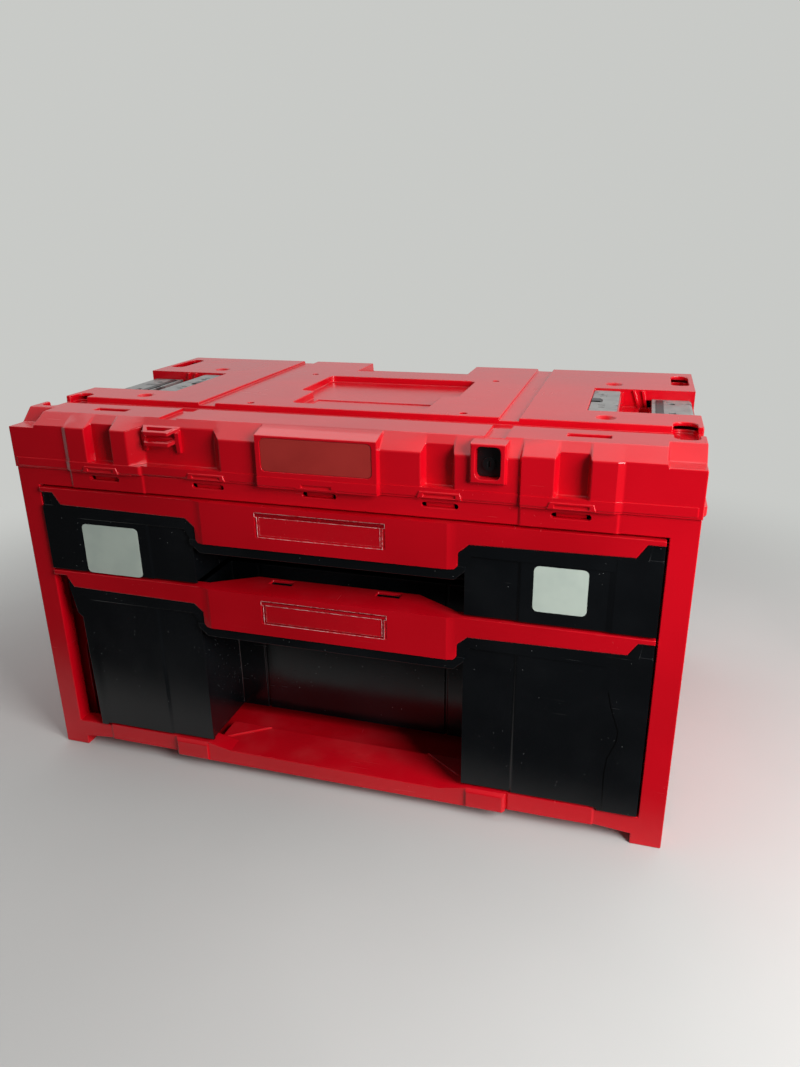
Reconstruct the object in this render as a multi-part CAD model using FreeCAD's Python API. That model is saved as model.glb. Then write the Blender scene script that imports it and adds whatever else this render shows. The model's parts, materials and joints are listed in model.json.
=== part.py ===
import FreeCAD, Part
import math
import os

Vector = FreeCAD.Vector

# A portable tool box: a moulded red cabinet with a snapped-on stacking lid and
# two black drawers on telescopic steel slides. The front faces -Y, +Z is up and
# the origin is the middle of the footprint on the floor. Lengths are in mm.

# Driving dimensions
OVERALL_WIDTH = 576.0
OVERALL_DEPTH = 359.0
OVERALL_HEIGHT = 333.0
LID_HEIGHT = 47.5
UPPER_FRONT_HEIGHT = 77.5
SLIDE_WIDTH = 12.7
SLIDE_HEIGHT = 35.0
WALL = 3.0
THIN_WALL = 2.5
OVERRUN = 1.0

# Running clearances
RUN_GAP = 0.3
PIN_GAP = 0.05
DRAWER_GAP = 1.5
SEAT_GAP = 0.2

FRONT = -OVERALL_DEPTH / 2
BACK = OVERALL_DEPTH / 2
HALF_WIDTH = OVERALL_WIDTH / 2
LID_BASE = OVERALL_HEIGHT - LID_HEIGHT

# How round forms are faceted: chords to a turned corner, sides to a full circle
CORNER_CHORDS = 4
SMALL_CORNER_CHORDS = 2
ROUND_SIDES = 20
SMALL_ROUND_SIDES = 12
SHANK_SIDES = 8

# The front of lid and body is stepped into bands that mirror about the middle
PLATE_BAND_SHARE = 0.17361
MIDDLE_BAND_SHARE = 0.546875
OUTER_BAND_SHARE = 0.79861
PLATE_BAND_HALF = HALF_WIDTH * PLATE_BAND_SHARE
MIDDLE_BAND_HALF = HALF_WIDTH * MIDDLE_BAND_SHARE
OUTER_BAND_HALF = HALF_WIDTH * OUTER_BAND_SHARE
BAND_BEVEL = 1.5
LIP_PROUD = 0.6
PLATE_BAND_Y = FRONT + LIP_PROUD
MIDDLE_BAND_Y = PLATE_BAND_Y + 4.0
OUTER_BAND_Y = PLATE_BAND_Y + 1.5
END_BAND_Y = MIDDLE_BAND_Y

# Cabinet
BODY_HALF = OVERALL_WIDTH / 2 - WALL
BODY_FRONT = FRONT + 6.0
BODY_BACK = BACK - 3.5
FOOT_HEIGHT = 9.5
FOOT_WIDTH = 25.0
FRONT_FOOT_LENGTH = 28.0
REAR_FOOT_LENGTH = 17.0
POST_WIDTH = 20.0
FRAME_DEPTH = 15.0
TOP_RAIL_HEIGHT = 15.5
FLOOR_RAISE = 3.0
FLOOR_BASE = FOOT_HEIGHT + FLOOR_RAISE
FLOOR_Z = FLOOR_BASE + WALL
RAIL_TOP = 29.0
RAIL_STEP = 2.0
SHELF_DROP = 5.0
SHELF_SHARE = 0.40972
SHELF_HALF = HALF_WIDTH * SHELF_SHARE
SHELF_RISE_START = SHELF_HALF - 18.0
SHELF_BACK_HALF = SHELF_HALF - 40.0
SHELF_DEPTH = 41.0
SHELF_SIDE_DEPTH = 12.5
SHELF_WEDGE_RISE = 1.5
SHELF_PROUD = 3.0
BUMPER_GAP = 0.5
BUMPER_WIDTH = MIDDLE_BAND_HALF - SHELF_HALF - SHELF_DROP - BUMPER_GAP
BUMPER_PROUD = 5.0
BUMPER_BEVEL = 2.5
BUMPER_HEIGHT = 20.0
BAND_PROUD = 1.0
BAND_TOP_GAP = 1.0
OPENING_TOP = LID_BASE - TOP_RAIL_HEIGHT
OPENING_HALF = BODY_HALF - POST_WIDTH
BOARD_INSET = 34.0
BOARD_X = BODY_HALF - BOARD_INSET
BOARD_HEIGHT = SLIDE_HEIGHT + 5.0
RIB_COUNT = 6
RIB_THICKNESS = 2.5
SLOT_PITCH_SHARE = 0.34028
SLOT_PITCH = HALF_WIDTH * SLOT_PITCH_SHARE
SLOT_COUNT = 5
SLOT_WIDTH = 28.5
SLOT_HEIGHT = 4.0
SLOT_BELOW_LID = 5.0
REAR_PANEL_COUNT = 4
REAR_PANEL_INSET = 1.2
REAR_PANEL_MARGIN = 18.0
GRIP_HALF = 50.0
GRIP_HEIGHT = 26.0
GRIP_DEPTH = 21.0
GRIP_Z = 148.0

# Slides
SLIDE_FRONT = BODY_FRONT + 23.5
SLIDE_BACK = BODY_BACK - 26.0
SLIDE_SHEET = 1.2
OUTER_LIP = 1.3
MIDDLE_LIP = 2.6
SLIDE_END_STEP = 6.0
SLIDE_BELOW_TOP = 35.0
SLIDE_SCREW_SETBACK = 40.0
SCREW_HEAD_R = 3.4
SCREW_HEAD_H = 1.5
SCREW_SHANK_R = 1.6
SCREW_SHANK_L = 5.0

# Drawers
DRAWER_PLAY = 0.4
TRAY_HALF = BOARD_X - SLIDE_WIDTH - DRAWER_PLAY
TRAY_BACK = SLIDE_BACK
WELL_HALF = SHELF_HALF
WELL_DEPTH = 65.0
PILASTER_WIDTH = 27.0
PILASTER_HALF = WELL_HALF - PILASTER_WIDTH
PILASTER_PROUD = 1.6
GROOVE_WIDTH = 2.4
PANEL_INNER_LAG = 2.0
PANEL_OUTER_LAG = 1.5
PANEL_STEP_INNER = MIDDLE_BAND_HALF + PANEL_INNER_LAG
PANEL_STEP_OUTER = OUTER_BAND_HALF + PANEL_OUTER_LAG
PANEL_STEP = 1.1
INNER_BEVEL = 2.0
OUTER_BEVEL = 5.0
PANEL_Y = BODY_FRONT
FLANGE_HALF = OPENING_HALF - DRAWER_GAP
FLANGE_THICKNESS = 3.0
BROKEN_EDGE = TRAY_HALF + 0.5
BROKEN_LEAN = 2.5
BROKEN_TIP = 8.5
BROKEN_TIP_LENGTH = 19.0
BROKEN_TIP_SLOPE = 4.0
RIM_HEIGHT = 9.5
RIM_DEPTH = 11.0
RIM_PROUD = 2.0
RIM_END = 12.5
RIM_TIP = 8.5
TRIM_PROUD = 3.0
HANDLE_PROUD = 5.2
TRIM_WING_HEIGHT = 17.0
TRIM_RISE = 1.8
TRIM_HANDLE_HEIGHT = 37.5
TRIM_TIP_HEIGHT = 4.5
TRIM_TIP_WIDTH = 12.5
TRIM_END_SLOPE = 7.0
HANDLE_INSET = 5.0
HANDLE_HALF = WELL_HALF - HANDLE_INSET
HANDLE_CORNER = 8.0
HANDLE_CHAMFER = 2.5
HANDLE_SIDE_HEIGHT = 24.5
HANDLE_SLOPE = 8.5
HANDLE_DEPTH = 37.0
HANDLE_SHELF_SETBACK = 39.0
HANDLE_SHELF_END = HANDLE_HALF - HANDLE_SHELF_SETBACK
HANDLE_WALL = 3.0
TRIM_FLANGE_DEPTH = 9.0
RELIEF_SHARE = 0.6554
RELIEF_X = HANDLE_SHELF_END * RELIEF_SHARE
RELIEF_WIDTH = 20.0
RELIEF_LENGTH = 8.0
RELIEF_SETBACK = 4.0
TRIM_SCREW_SHARES = (0.52083, 0.74653)
TRIM_SCREW_X = [HALF_WIDTH * share for share in TRIM_SCREW_SHARES]
TRIM_SCREW_BELOW = 9.0
TRIM_SCREW_L = 5.0

# Label windows and stickers
LABEL_HALF = 55.5
LABEL_HEIGHT = 21.5
LABEL_BELOW = 5.0
LABEL_POCKET = 0.6
LABEL_THICKNESS = 1.1
LABEL_RIDGE = 4.0
LABEL_RIDGE_PROUD = 1.4
STICKER_THICKNESS = 0.3
STICKER_CORNER = 4.0
PANEL_FLAT = PANEL_STEP_OUTER - PANEL_STEP_INNER
STICKER_LEFT_SHARE = 0.775
STICKER_LEFT_END = PANEL_STEP_OUTER - OUTER_BEVEL - SEAT_GAP
STICKER_LEFT = (-STICKER_LEFT_END, -STICKER_LEFT_END + PANEL_FLAT * STICKER_LEFT_SHARE)
STICKER_LEFT_HEIGHT = 46.0
STICKER_LEFT_BELOW = 31.5
STICKER_RIGHT_SHARES = (0.1667, 0.7292)
STICKER_RIGHT = [PANEL_STEP_INNER + PANEL_FLAT * share for share in STICKER_RIGHT_SHARES]
STICKER_RIGHT_HEIGHT = 37.5
STICKER_RIGHT_BELOW = 29.0

# Lid
LID_HALF = BODY_HALF + 0.5
LIP_HEIGHT = 9.0
LIP_BEVEL = 2.0
LIP_CORNER = 7.0
LID_BACK = BACK - 2.5
LID_SHELL = 3.5
DECK_Z = OVERALL_HEIGHT
LEDGE_Z = OVERALL_HEIGHT
LEDGE_FRONT = FRONT + 19.5
GROOVE_FRONT = FRONT + 56.5
GROOVE_Z = DECK_Z - 6.0
DECK_FRONT = FRONT + 84.0
DECK_BACK = BACK - 27.0
REAR_LEDGE_Z = DECK_Z - 11.0
PLATE_BAND_EDGE = LEDGE_Z - 5.0
MIDDLE_BAND_EDGE = LEDGE_Z - 12.0
OUTER_BAND_EDGE = LEDGE_Z - 9.3
RECESS_EDGE = LEDGE_Z - 6.5
RECESS_DEPTH = 8.5
RECESS_BEVEL = 2.0
MIDDLE_RECESS_SHARES = (0.29688, 0.37153)
MIDDLE_RECESS = [HALF_WIDTH * share for share in MIDDLE_RECESS_SHARES]
OUTER_RECESS_SHARES = (0.64236, 0.71528)
OUTER_RECESS = [HALF_WIDTH * share for share in OUTER_RECESS_SHARES]
OUTER_PAD_SETBACK = 4.0
OUTER_PAD_END = OUTER_BAND_HALF - OUTER_PAD_SETBACK
OUTER_PAD_BEVEL = 5.0
EYE_RECESS_SHARES = (0.31944, 0.54514)
EYE_RECESS = [HALF_WIDTH * share for share in EYE_RECESS_SHARES]
EYE_RECESS_SLOPE = 8.0
EYE_PAD_SLOPE = 11.0
WINDOW_SHARE = 0.46788
WINDOW_WIDTH = 26.5
WINDOW_BLOCK = (HALF_WIDTH * WINDOW_SHARE - WINDOW_WIDTH / 2, HALF_WIDTH * WINDOW_SHARE + WINDOW_WIDTH / 2)
WINDOW_BLOCK_TOP = LEDGE_Z - 1.2
WINDOW_BLOCK_RISE = 16.0
WINDOW_BEVEL_Y = 1.5
WINDOW_BLOCK_Y = PLATE_BAND_Y
WINDOW_FRAME = 4.0
WINDOW_SILL = 10.5
WINDOW_CORNER = 4.0
WINDOW_DEPTH = 11.0
LOCK_THICKNESS = 3.0
LOCK_BOSS_R = 5.0
LOCK_BOSS_H = 1.5
LOCK_KEYHOLE = (1.4, 5.0)
CORNER_WIDTH = 29.0
CORNER_X = HALF_WIDTH - CORNER_WIDTH
CORNER_SLOPE_FOOT = FRONT + 22.5
CORNER_SLOPE_TOP = FRONT + 34.5
CORNER_STEP_Z = LEDGE_Z - 11.5
SIDE_STEP = 2.0
PLATE_MARGIN = 4.0
PLATE_HALF = PLATE_BAND_HALF - PLATE_MARGIN
PLATE_HEIGHT = 27.0
PLATE_SILL = 4.5
PLATE_POCKET = 1.4
PLATE_THICKNESS = 0.9
PLATE_CORNER = 4.0
CHANNEL_SHARES = (0.44618, 0.50174)
CHANNEL = [HALF_WIDTH * share for share in CHANNEL_SHARES]
CHANNEL_DEPTH = 2.5
DISH_SETBACK = 76.5
DISH_X = HALF_WIDTH - DISH_SETBACK
DISH_Y = 76.0
DISH_R = 8.0
DISH_FLOOR_R = 4.5
DISH_DEPTH = 5.0
SOCKET_MARGIN = 7.0
SOCKET_END = HALF_WIDTH - SOCKET_MARGIN
FRONT_SOCKET_WIDTH = 18.0
REAR_SOCKET_WIDTH = 16.0
FRONT_SOCKET = (SOCKET_END - FRONT_SOCKET_WIDTH, SOCKET_END, -138.0, -79.0)
REAR_SOCKET = (SOCKET_END - REAR_SOCKET_WIDTH, SOCKET_END, 80.0, 134.0)
SOCKET_CORNER = 7.5
SOCKET_DEPTH = 9.0
SOCKET_WELL = (SOCKET_END - FRONT_SOCKET_WIDTH / 2, -112.0, 7.5)
SOCKET_WELL_DEPTH = 7.0
DIMPLE_X = 97.0
DIMPLE_Y = (-87.0, 68.0)
DIMPLE_R = 3.4
DIMPLE_DEPTH = 2.0
RECESS_WIDE_HALF = 77.0
RECESS_NARROW_HALF = 62.0
RECESS_Y = (-77.0, -20.0, 63.0)
DECK_RECESS_DEPTH = 6.5
DECK_RECESS_CORNER = 6.0
PANEL_LINE_HALF = 55.5
PANEL_LINE_Y = (-50.0, -29.5)
PANEL_LINE_DEPTH = 0.8
NOTCH_HALF = 60.0
NOTCH_Y = 99.0
LEDGE_SLOT_SHARES = (0.65104, 0.76042)
LEDGE_SLOT = [HALF_WIDTH * share for share in LEDGE_SLOT_SHARES]
LEDGE_SLOT_Y = FRONT + 33.5
LEDGE_SLOT_WIDTH = 9.0
LEDGE_SLOT_DEPTH = 5.0
TAB_WIDTH = 31.0
TAB_FOOT = 35.0
TAB_HEIGHT = 6.0
TAB_PROUD = 1.0
TAB_SLIT_WIDTH = 25.0
TAB_SLIT_HEIGHT = 2.4
TAB_SLIT_DEPTH = 1.6
HOOK_WIDTH = 22.0
HOOK_THICKNESS = 3.0
HOOK_NOSE = 1.6

# Side recesses of the deck and what they hold
POCKET_REACH = 93.0
POCKET_INNER = HALF_WIDTH - POCKET_REACH
POCKET_Y = (-51.0, 52.0)
POCKET_FLOOR = DECK_Z - 17.0
SHELF_END = POCKET_INNER + 25.5
SHELF_Z = DECK_Z - 3.8
WELL_X = (HALF_WIDTH - 51.0, HALF_WIDTH - 42.0)
WELL_DROP = 8.0
POCKET_RIB_TOP_X = (HALF_WIDTH - 57.0, HALF_WIDTH - 49.0)
POCKET_RIB_FOOT_X = (HALF_WIDTH - 51.5, HALF_WIDTH - 45.0)
POCKET_HOLE_X = (HALF_WIDTH - 47.5, HALF_WIDTH - 41.0)
POCKET_HOLE_HEIGHT = 7.0
POCKET_RIB_WIDTH = 2.5
POCKET_RIB_PROUD = 2.5
CATCH_WIDTH = 23.5
CATCH_THICKNESS = 2.0
CATCH_END_GAP = 2.5
CATCH_CORNER = 3.0
CATCH_NOTCH = (9.5, 13.0)
CATCH_SLOT = (6.0, 2.6)
CATCH_SLOT_DY = (19.0, 28.0)
CLIP_RISE = 1.0
LATCH_INNER = HALF_WIDTH - 40.5
LATCH_AXIS_X = HALF_WIDTH - 8.5
LATCH_AXIS_Z = DECK_Z - 12.0
LATCH_PIN_R = 1.75
LATCH_BARREL_R = 3.5
LATCH_THICKNESS = 2.5
LATCH_END_GAP = 1.0
LATCH_HOOK = 3.0
LATCH_HOOK_WIDTH = 2.0
LATCH_HOLE = 6.0
LATCH_HOLE_X = HALF_WIDTH - 23.5
LATCH_HOLE_Y = (-8.0, 32.0)
LATCH_PAD_X = (LATCH_INNER + 3.5, LATCH_INNER + 10.0)
LATCH_PAD_DEPTH = 1.2
LATCH_PAD_RISE = 0.6
LATCH_PAD_END = 6.0
PIN_REACH = 2.0

# Padlock eye
EYE_WIDTH = 35.0
EYE_X = (-EYE_RECESS[1], -EYE_RECESS[1] + EYE_WIDTH)
EYE_TIP_X = (EYE_X[0] + 5.0, EYE_X[1] - 8.0)
EYE_REACH = 9.0
EYE_THICKNESS = 3.0
EYE_BAR = 2.6
EYE_DROP = 4.0
EYE_Z = LEDGE_Z - 8.0
EYE_LOWER_DROP = 9.0
EYE_LEG = 3.5
EYE_LEG_DROP = 19.0


def box(x0, x1, y0, y1, z0, z1):
    return Part.makeBox(x1 - x0, y1 - y0, z1 - z0, Vector(x0, y0, z0))


def closed_face(points):
    return Part.Face(Part.makePolygon(points + [points[0]]))


def prism_x(outline, x0, x1):
    points = [Vector(x0, y, z) for y, z in outline]
    return closed_face(points).extrude(Vector(x1 - x0, 0, 0))


def prism_y(outline, y0, y1):
    points = [Vector(x, y0, z) for x, z in outline]
    return closed_face(points).extrude(Vector(0, y1 - y0, 0))


def prism_z(outline, z0, z1):
    points = [Vector(x, y, z0) for x, y in outline]
    return closed_face(points).extrude(Vector(0, 0, z1 - z0))


def rounded_outline(outline, radius, place, chords):
    # a closed wire with every corner of the outline turned in equal chords
    count = len(outline)
    points = []
    for index in range(count):
        here = place(*outline[index])
        before = place(*outline[index - 1])
        after = place(*outline[(index + 1) % count])
        back = (before - here).normalize()
        ahead = (after - here).normalize()
        half = back.getAngle(ahead) / 2
        reach = radius / math.tan(half)
        centre = here + (back + ahead).normalize() * (radius / math.sin(half))
        start = here + back * reach - centre
        end = here + ahead * reach - centre
        turn = start.getAngle(end)
        for step in range(chords + 1):
            angle = turn * step / chords
            spoke = start * math.sin(turn - angle) + end * math.sin(angle)
            points.append(centre + spoke * (1 / math.sin(turn)))
    kept = [point for index, point in enumerate(points) if (point - points[index - 1]).Length > PIN_GAP]
    return Part.makePolygon(kept + [kept[0]])


def rounded_plate_y(x0, x1, z0, z1, y0, y1, radius, chords=CORNER_CHORDS):
    outline = [(x0, z0), (x1, z0), (x1, z1), (x0, z1)]
    wire = rounded_outline(outline, radius, lambda x, z: Vector(x, y0, z), chords)
    return Part.Face(wire).extrude(Vector(0, y1 - y0, 0))


def rounded_plate_z(outline, z0, z1, radius):
    wire = rounded_outline(outline, radius, lambda x, y: Vector(x, y, z0), CORNER_CHORDS)
    return Part.Face(wire).extrude(Vector(0, 0, z1 - z0))


def ring(radius, sides):
    # the corners of a regular outline of so many sides
    return [(radius * math.cos(math.tau * index / sides), radius * math.sin(math.tau * index / sides))
            for index in range(sides)]


def pin_x(x0, x1, y, z, radius, sides=SHANK_SIDES):
    return prism_x([(y + u, z + v) for u, v in ring(radius, sides)], x0, x1)


def pin_y(x, z, y0, y1, radius, sides=SHANK_SIDES):
    return prism_y([(x + u, z + v) for u, v in ring(radius, sides)], y0, y1)


def round_pit(x, y, z0, z1, low_r, high_r, sides):
    # a round pit or peg, straight or tapering
    low, high = [[Vector(x + u, y + v, z) for u, v in ring(radius, sides)]
                 for z, radius in ((z0, low_r), (z1, high_r))]
    faces = [closed_face(low), closed_face(high)]
    for index in range(sides):
        faces.append(closed_face([low[index - 1], low[index], high[index], high[index - 1]]))
    return Part.makeSolid(Part.makeShell(faces))


def rod_y(x, z, y0, y1, radius):
    return Part.makeCylinder(radius, y1 - y0, Vector(x, y0, z), Vector(0, 1, 0))


def mirrored(shape):
    return shape.mirror(Vector(0, 0, 0), Vector(1, 0, 0))


def fuse(shapes):
    first = shapes[0]
    return first.fuse(shapes[1:]).removeSplitter()


def cut(shape, tools):
    return shape.cut(tools).removeSplitter()


def write(name, shape):
    solids = shape.Solids
    result = solids[0] if len(solids) == 1 else Part.makeCompound(solids)
    if not result.isValid():
        print("not valid:", name)
    result.exportStep("parts/" + name + ".step")
    size = result.BoundBox
    print(name, len(solids), round(size.XMin, 1), round(size.XMax, 1),
          round(size.YMin, 1), round(size.YMax, 1), round(size.ZMin, 1), round(size.ZMax, 1))


# Heights of the two drawers, from the opening down
UPPER_TOP = OPENING_TOP - DRAWER_GAP
UPPER_BOTTOM = UPPER_TOP - UPPER_FRONT_HEIGHT
LOWER_TOP = UPPER_BOTTOM - DRAWER_GAP
LOWER_BOTTOM = RAIL_TOP + DRAWER_GAP
DRAWERS = (("upper", UPPER_TOP, UPPER_BOTTOM), ("lower", LOWER_TOP, LOWER_BOTTOM))


def slide_height(top):
    return top - SLIDE_BELOW_TOP


def band_face(x):
    # the front plane of the stepped bands at a distance x from the middle
    if x < PLATE_BAND_HALF:
        return PLATE_BAND_Y
    if x < MIDDLE_BAND_HALF:
        return MIDDLE_BAND_Y
    if x < OUTER_BAND_HALF:
        return OUTER_BAND_Y
    return END_BAND_Y


def snap_places():
    middle = (SLOT_COUNT - 1) / 2
    return [(index - middle) * SLOT_PITCH for index in range(SLOT_COUNT)]


# Cabinet: an open-fronted shell with a frame round the opening
def cabinet_shell():
    outer = box(-BODY_HALF, BODY_HALF, BODY_FRONT, BODY_BACK, FLOOR_BASE, LID_BASE)
    inside = box(-BODY_HALF + WALL, BODY_HALF - WALL, BODY_FRONT + FRAME_DEPTH,
                 BODY_BACK - WALL, FLOOR_Z, LID_BASE + OVERRUN)
    mouth = box(-OPENING_HALF, OPENING_HALF, BODY_FRONT - OVERRUN,
                BODY_FRONT + FRAME_DEPTH + OVERRUN, RAIL_TOP, OPENING_TOP)
    rail_back = BODY_FRONT + FRAME_DEPTH + OVERRUN
    above_rail = box(-BODY_HALF + WALL, BODY_HALF - WALL, BODY_FRONT + WALL, rail_back,
                     OPENING_TOP + WALL, LID_BASE + OVERRUN)
    under_rail = box(-OPENING_HALF, OPENING_HALF, BODY_FRONT + WALL, rail_back,
                     FLOOR_Z, RAIL_TOP - RAIL_STEP - WALL)
    post_hollows = []
    for side in (-1, 1):
        ends = sorted((side * (OPENING_HALF + WALL), side * (BODY_HALF - WALL)))
        post_hollows.append(box(ends[0], ends[1], BODY_FRONT + WALL, rail_back,
                                FLOOR_Z, LID_BASE + OVERRUN))
    steps = []
    for side in (-1, 1):
        ends = sorted((side * OUTER_BAND_HALF, side * OPENING_HALF))
        steps.append(box(ends[0], ends[1], BODY_FRONT - OVERRUN, rail_back,
                         RAIL_TOP - RAIL_STEP, RAIL_TOP + OVERRUN))
    shell = cut(outer, [inside, mouth, above_rail, under_rail] + steps + post_hollows)
    added = shelf_parts() + feet() + skirts() + side_walls() + bands()
    shell = fuse([shell] + added)
    removed = snap_slots() + shelf_scoop() + rear_panels() + grips()[1] + screw_holes()
    return cut(shell, removed)


def shelf_parts():
    # the finger shelf before the set-back middle of the lower drawer
    back = BODY_FRONT + SHELF_DEPTH
    level = RAIL_TOP - SHELF_DROP
    shelf = box(-SHELF_HALF, SHELF_HALF, BODY_FRONT - SHELF_PROUD, back, FOOT_HEIGHT, level)
    inner = SHELF_HALF - WALL
    hollow = box(-inner, inner, BODY_FRONT + WALL, back - WALL, FLOOR_Z, level - WALL)
    parts = [shelf.cut(hollow)]
    for side in (-1, 1):
        wedge = [(side * SHELF_HALF, BODY_FRONT + SHELF_SIDE_DEPTH), (side * SHELF_HALF, back),
                 (side * SHELF_BACK_HALF, back)]
        parts.append(prism_z(wedge, level - OVERRUN, level + SHELF_WEDGE_RISE))
        high = side * (SHELF_HALF + SHELF_DROP)
        low = side * SHELF_RISE_START
        slope = [(low, FOOT_HEIGHT), (high, FOOT_HEIGHT), (high, RAIL_TOP), (low, RAIL_TOP - SHELF_DROP)]
        parts.append(prism_y(slope, BODY_FRONT - SHELF_PROUD, BODY_FRONT + WALL))
        bumper = sorted((high, side * (SHELF_HALF + SHELF_DROP + BUMPER_WIDTH)))
        foot = RAIL_TOP - BUMPER_HEIGHT
        outline = [(bumper[0], foot), (bumper[1], foot), (bumper[1], RAIL_TOP), (bumper[0], RAIL_TOP)]
        body = prism_y(outline, BODY_FRONT - BUMPER_PROUD, BODY_FRONT + WALL)
        outer_x = side * (SHELF_HALF + SHELF_DROP + BUMPER_WIDTH)
        rims = [edge for edge in body.Edges if bumper_rim(edge, outer_x, foot)]
        parts.append(body.makeChamfer(BUMPER_BEVEL, rims))
    return parts


def bumper_rim(edge, outer_x, foot):
    # the front edges of a bumper, its lower outer corner and its outer upright
    middle = edge.BoundBox.Center
    at_front = abs(edge.BoundBox.YMax - (BODY_FRONT - BUMPER_PROUD)) < PIN_GAP
    corner = abs(middle.x - outer_x) < PIN_GAP and abs(middle.z - foot) < PIN_GAP
    inner_side = abs(edge.BoundBox.XMax - edge.BoundBox.XMin) < PIN_GAP and abs(middle.x - outer_x) > PIN_GAP
    return corner or (at_front and not inner_side)


def shelf_scoop():
    # lowers the front rail over the shelf, with sloping ends
    top = RAIL_TOP + OVERRUN
    rise = SHELF_HALF + SHELF_DROP - SHELF_RISE_START
    end = SHELF_RISE_START + rise * (1 + OVERRUN / SHELF_DROP)
    outline = [(-SHELF_RISE_START, RAIL_TOP - SHELF_DROP), (SHELF_RISE_START, RAIL_TOP - SHELF_DROP),
               (end, top), (-end, top)]
    return [prism_y(outline, BODY_FRONT - SHELF_PROUD - OVERRUN, BODY_FRONT + FRAME_DEPTH + OVERRUN)]


def feet():
    parts = []
    for side in (-1, 1):
        ends = sorted((side * BODY_HALF, side * (BODY_HALF - FOOT_WIDTH)))
        for start, length in ((BODY_FRONT, FRONT_FOOT_LENGTH),
                              (BODY_BACK - REAR_FOOT_LENGTH, REAR_FOOT_LENGTH)):
            parts.append(box(ends[0], ends[1], start, start + length, 0, FLOOR_Z))
    return parts


def skirts():
    # the front rail runs down to the feet outside the raised bands
    parts = []
    for side in (-1, 1):
        inner = side * OUTER_BAND_HALF
        outer = side * (BODY_HALF - FOOT_WIDTH + OVERRUN)
        outline = [(inner, FLOOR_Z), (inner, FLOOR_BASE), (outer, FOOT_HEIGHT), (outer, FLOOR_Z)]
        parts.append(prism_y(outline, BODY_FRONT, BODY_FRONT + WALL))
    return parts


def rib_places():
    first = SLIDE_FRONT + RIB_THICKNESS
    last = SLIDE_BACK - RIB_THICKNESS
    step = (last - first) / (RIB_COUNT - 1)
    return [first + step * index for index in range(RIB_COUNT)]


def side_walls():
    # boards that carry the slides, stood off the side walls by upright ribs
    parts = []
    for side in (-1, 1):
        reach = sorted((side * BOARD_X, side * (BODY_HALF - WALL / 2)))
        skin = sorted((side * BOARD_X, side * (BOARD_X + WALL)))
        for name, top, bottom in DRAWERS:
            middle = slide_height(top)
            low = middle - BOARD_HEIGHT / 2
            high = middle + BOARD_HEIGHT / 2
            parts.append(box(skin[0], skin[1], SLIDE_FRONT, SLIDE_BACK, low, high))
            for level in (low, high - RIB_THICKNESS):
                parts.append(box(reach[0], reach[1], SLIDE_FRONT, SLIDE_BACK,
                                 level, level + RIB_THICKNESS))
        foot = slide_height(LOWER_TOP) - BOARD_HEIGHT
        crest = slide_height(UPPER_TOP) + BOARD_HEIGHT / 2
        for y in rib_places():
            outline = [(side * (BODY_HALF - WALL / 2), FLOOR_Z - OVERRUN),
                       (side * (BODY_HALF - WALL / 2), crest),
                       (side * BOARD_X, crest),
                       (side * BOARD_X, foot),
                       (side * OPENING_HALF, foot - BOARD_INSET / 2),
                       (side * OPENING_HALF, FLOOR_Z - OVERRUN)]
            parts.append(prism_y(outline, y - RIB_THICKNESS / 2, y + RIB_THICKNESS / 2))
    return parts + grips()[0]


def grips():
    # a moulded hand hold low in each side wall: what is added and what is cut
    added = []
    removed = []
    for side in (-1, 1):
        outer = side * BODY_HALF
        floor = side * (BODY_HALF - GRIP_DEPTH)
        pocket = sorted((floor, outer + side * OVERRUN))
        shell = sorted((floor - side * WALL, outer))
        low = GRIP_Z - GRIP_HEIGHT / 2
        high = GRIP_Z + GRIP_HEIGHT / 2
        added.append(box(shell[0], shell[1], -GRIP_HALF - WALL, GRIP_HALF + WALL,
                         low - WALL, high + WALL))
        removed.append(box(pocket[0], pocket[1], -GRIP_HALF, GRIP_HALF, low, high))
    return added, removed


def bands():
    # the raised outer bands carry on below the lid and on the front rail
    parts = []
    for side in (-1, 1):
        ends = sorted((side * MIDDLE_BAND_HALF, side * OUTER_BAND_HALF))
        inner = side * MIDDLE_BAND_HALF
        outer = side * OUTER_BAND_HALF
        outline = [(inner, BODY_FRONT + OVERRUN), (outer, BODY_FRONT + OVERRUN),
                   (outer, BODY_FRONT),
                   (outer - side * BAND_BEVEL, BODY_FRONT - BAND_PROUD),
                   (inner + side * BAND_BEVEL, BODY_FRONT - BAND_PROUD),
                   (inner, BODY_FRONT)]
        parts.append(prism_z(outline, OPENING_TOP, LID_BASE))
        parts.append(prism_z(outline, FLOOR_BASE, RAIL_TOP))
    return parts


def snap_slots():
    slots = []
    high = LID_BASE - SLOT_BELOW_LID + SLOT_HEIGHT / 2
    for x in snap_places():
        slots.append(rounded_plate_y(x - SLOT_WIDTH / 2, x + SLOT_WIDTH / 2,
                                     high - SLOT_HEIGHT, high,
                                     BODY_FRONT - BAND_PROUD - OVERRUN,
                                     BODY_FRONT + WALL + OVERRUN, SLOT_HEIGHT / 3,
                                     SMALL_CORNER_CHORDS))
    return slots


def rear_panels():
    panels = []
    span = 2 * BODY_HALF / REAR_PANEL_COUNT
    for index in range(REAR_PANEL_COUNT):
        start = -BODY_HALF + span * index + REAR_PANEL_MARGIN / 2
        end = start + span - REAR_PANEL_MARGIN
        panels.append(rounded_plate_y(start, end, FOOT_HEIGHT + REAR_PANEL_MARGIN,
                                      LID_BASE - REAR_PANEL_MARGIN,
                                      BODY_BACK - REAR_PANEL_INSET, BODY_BACK + OVERRUN,
                                      REAR_PANEL_MARGIN / 3, SMALL_CORNER_CHORDS))
    return panels


def slide_screw_places():
    return (SLIDE_FRONT + SLIDE_SCREW_SETBACK, SLIDE_BACK - SLIDE_SCREW_SETBACK)


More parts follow.
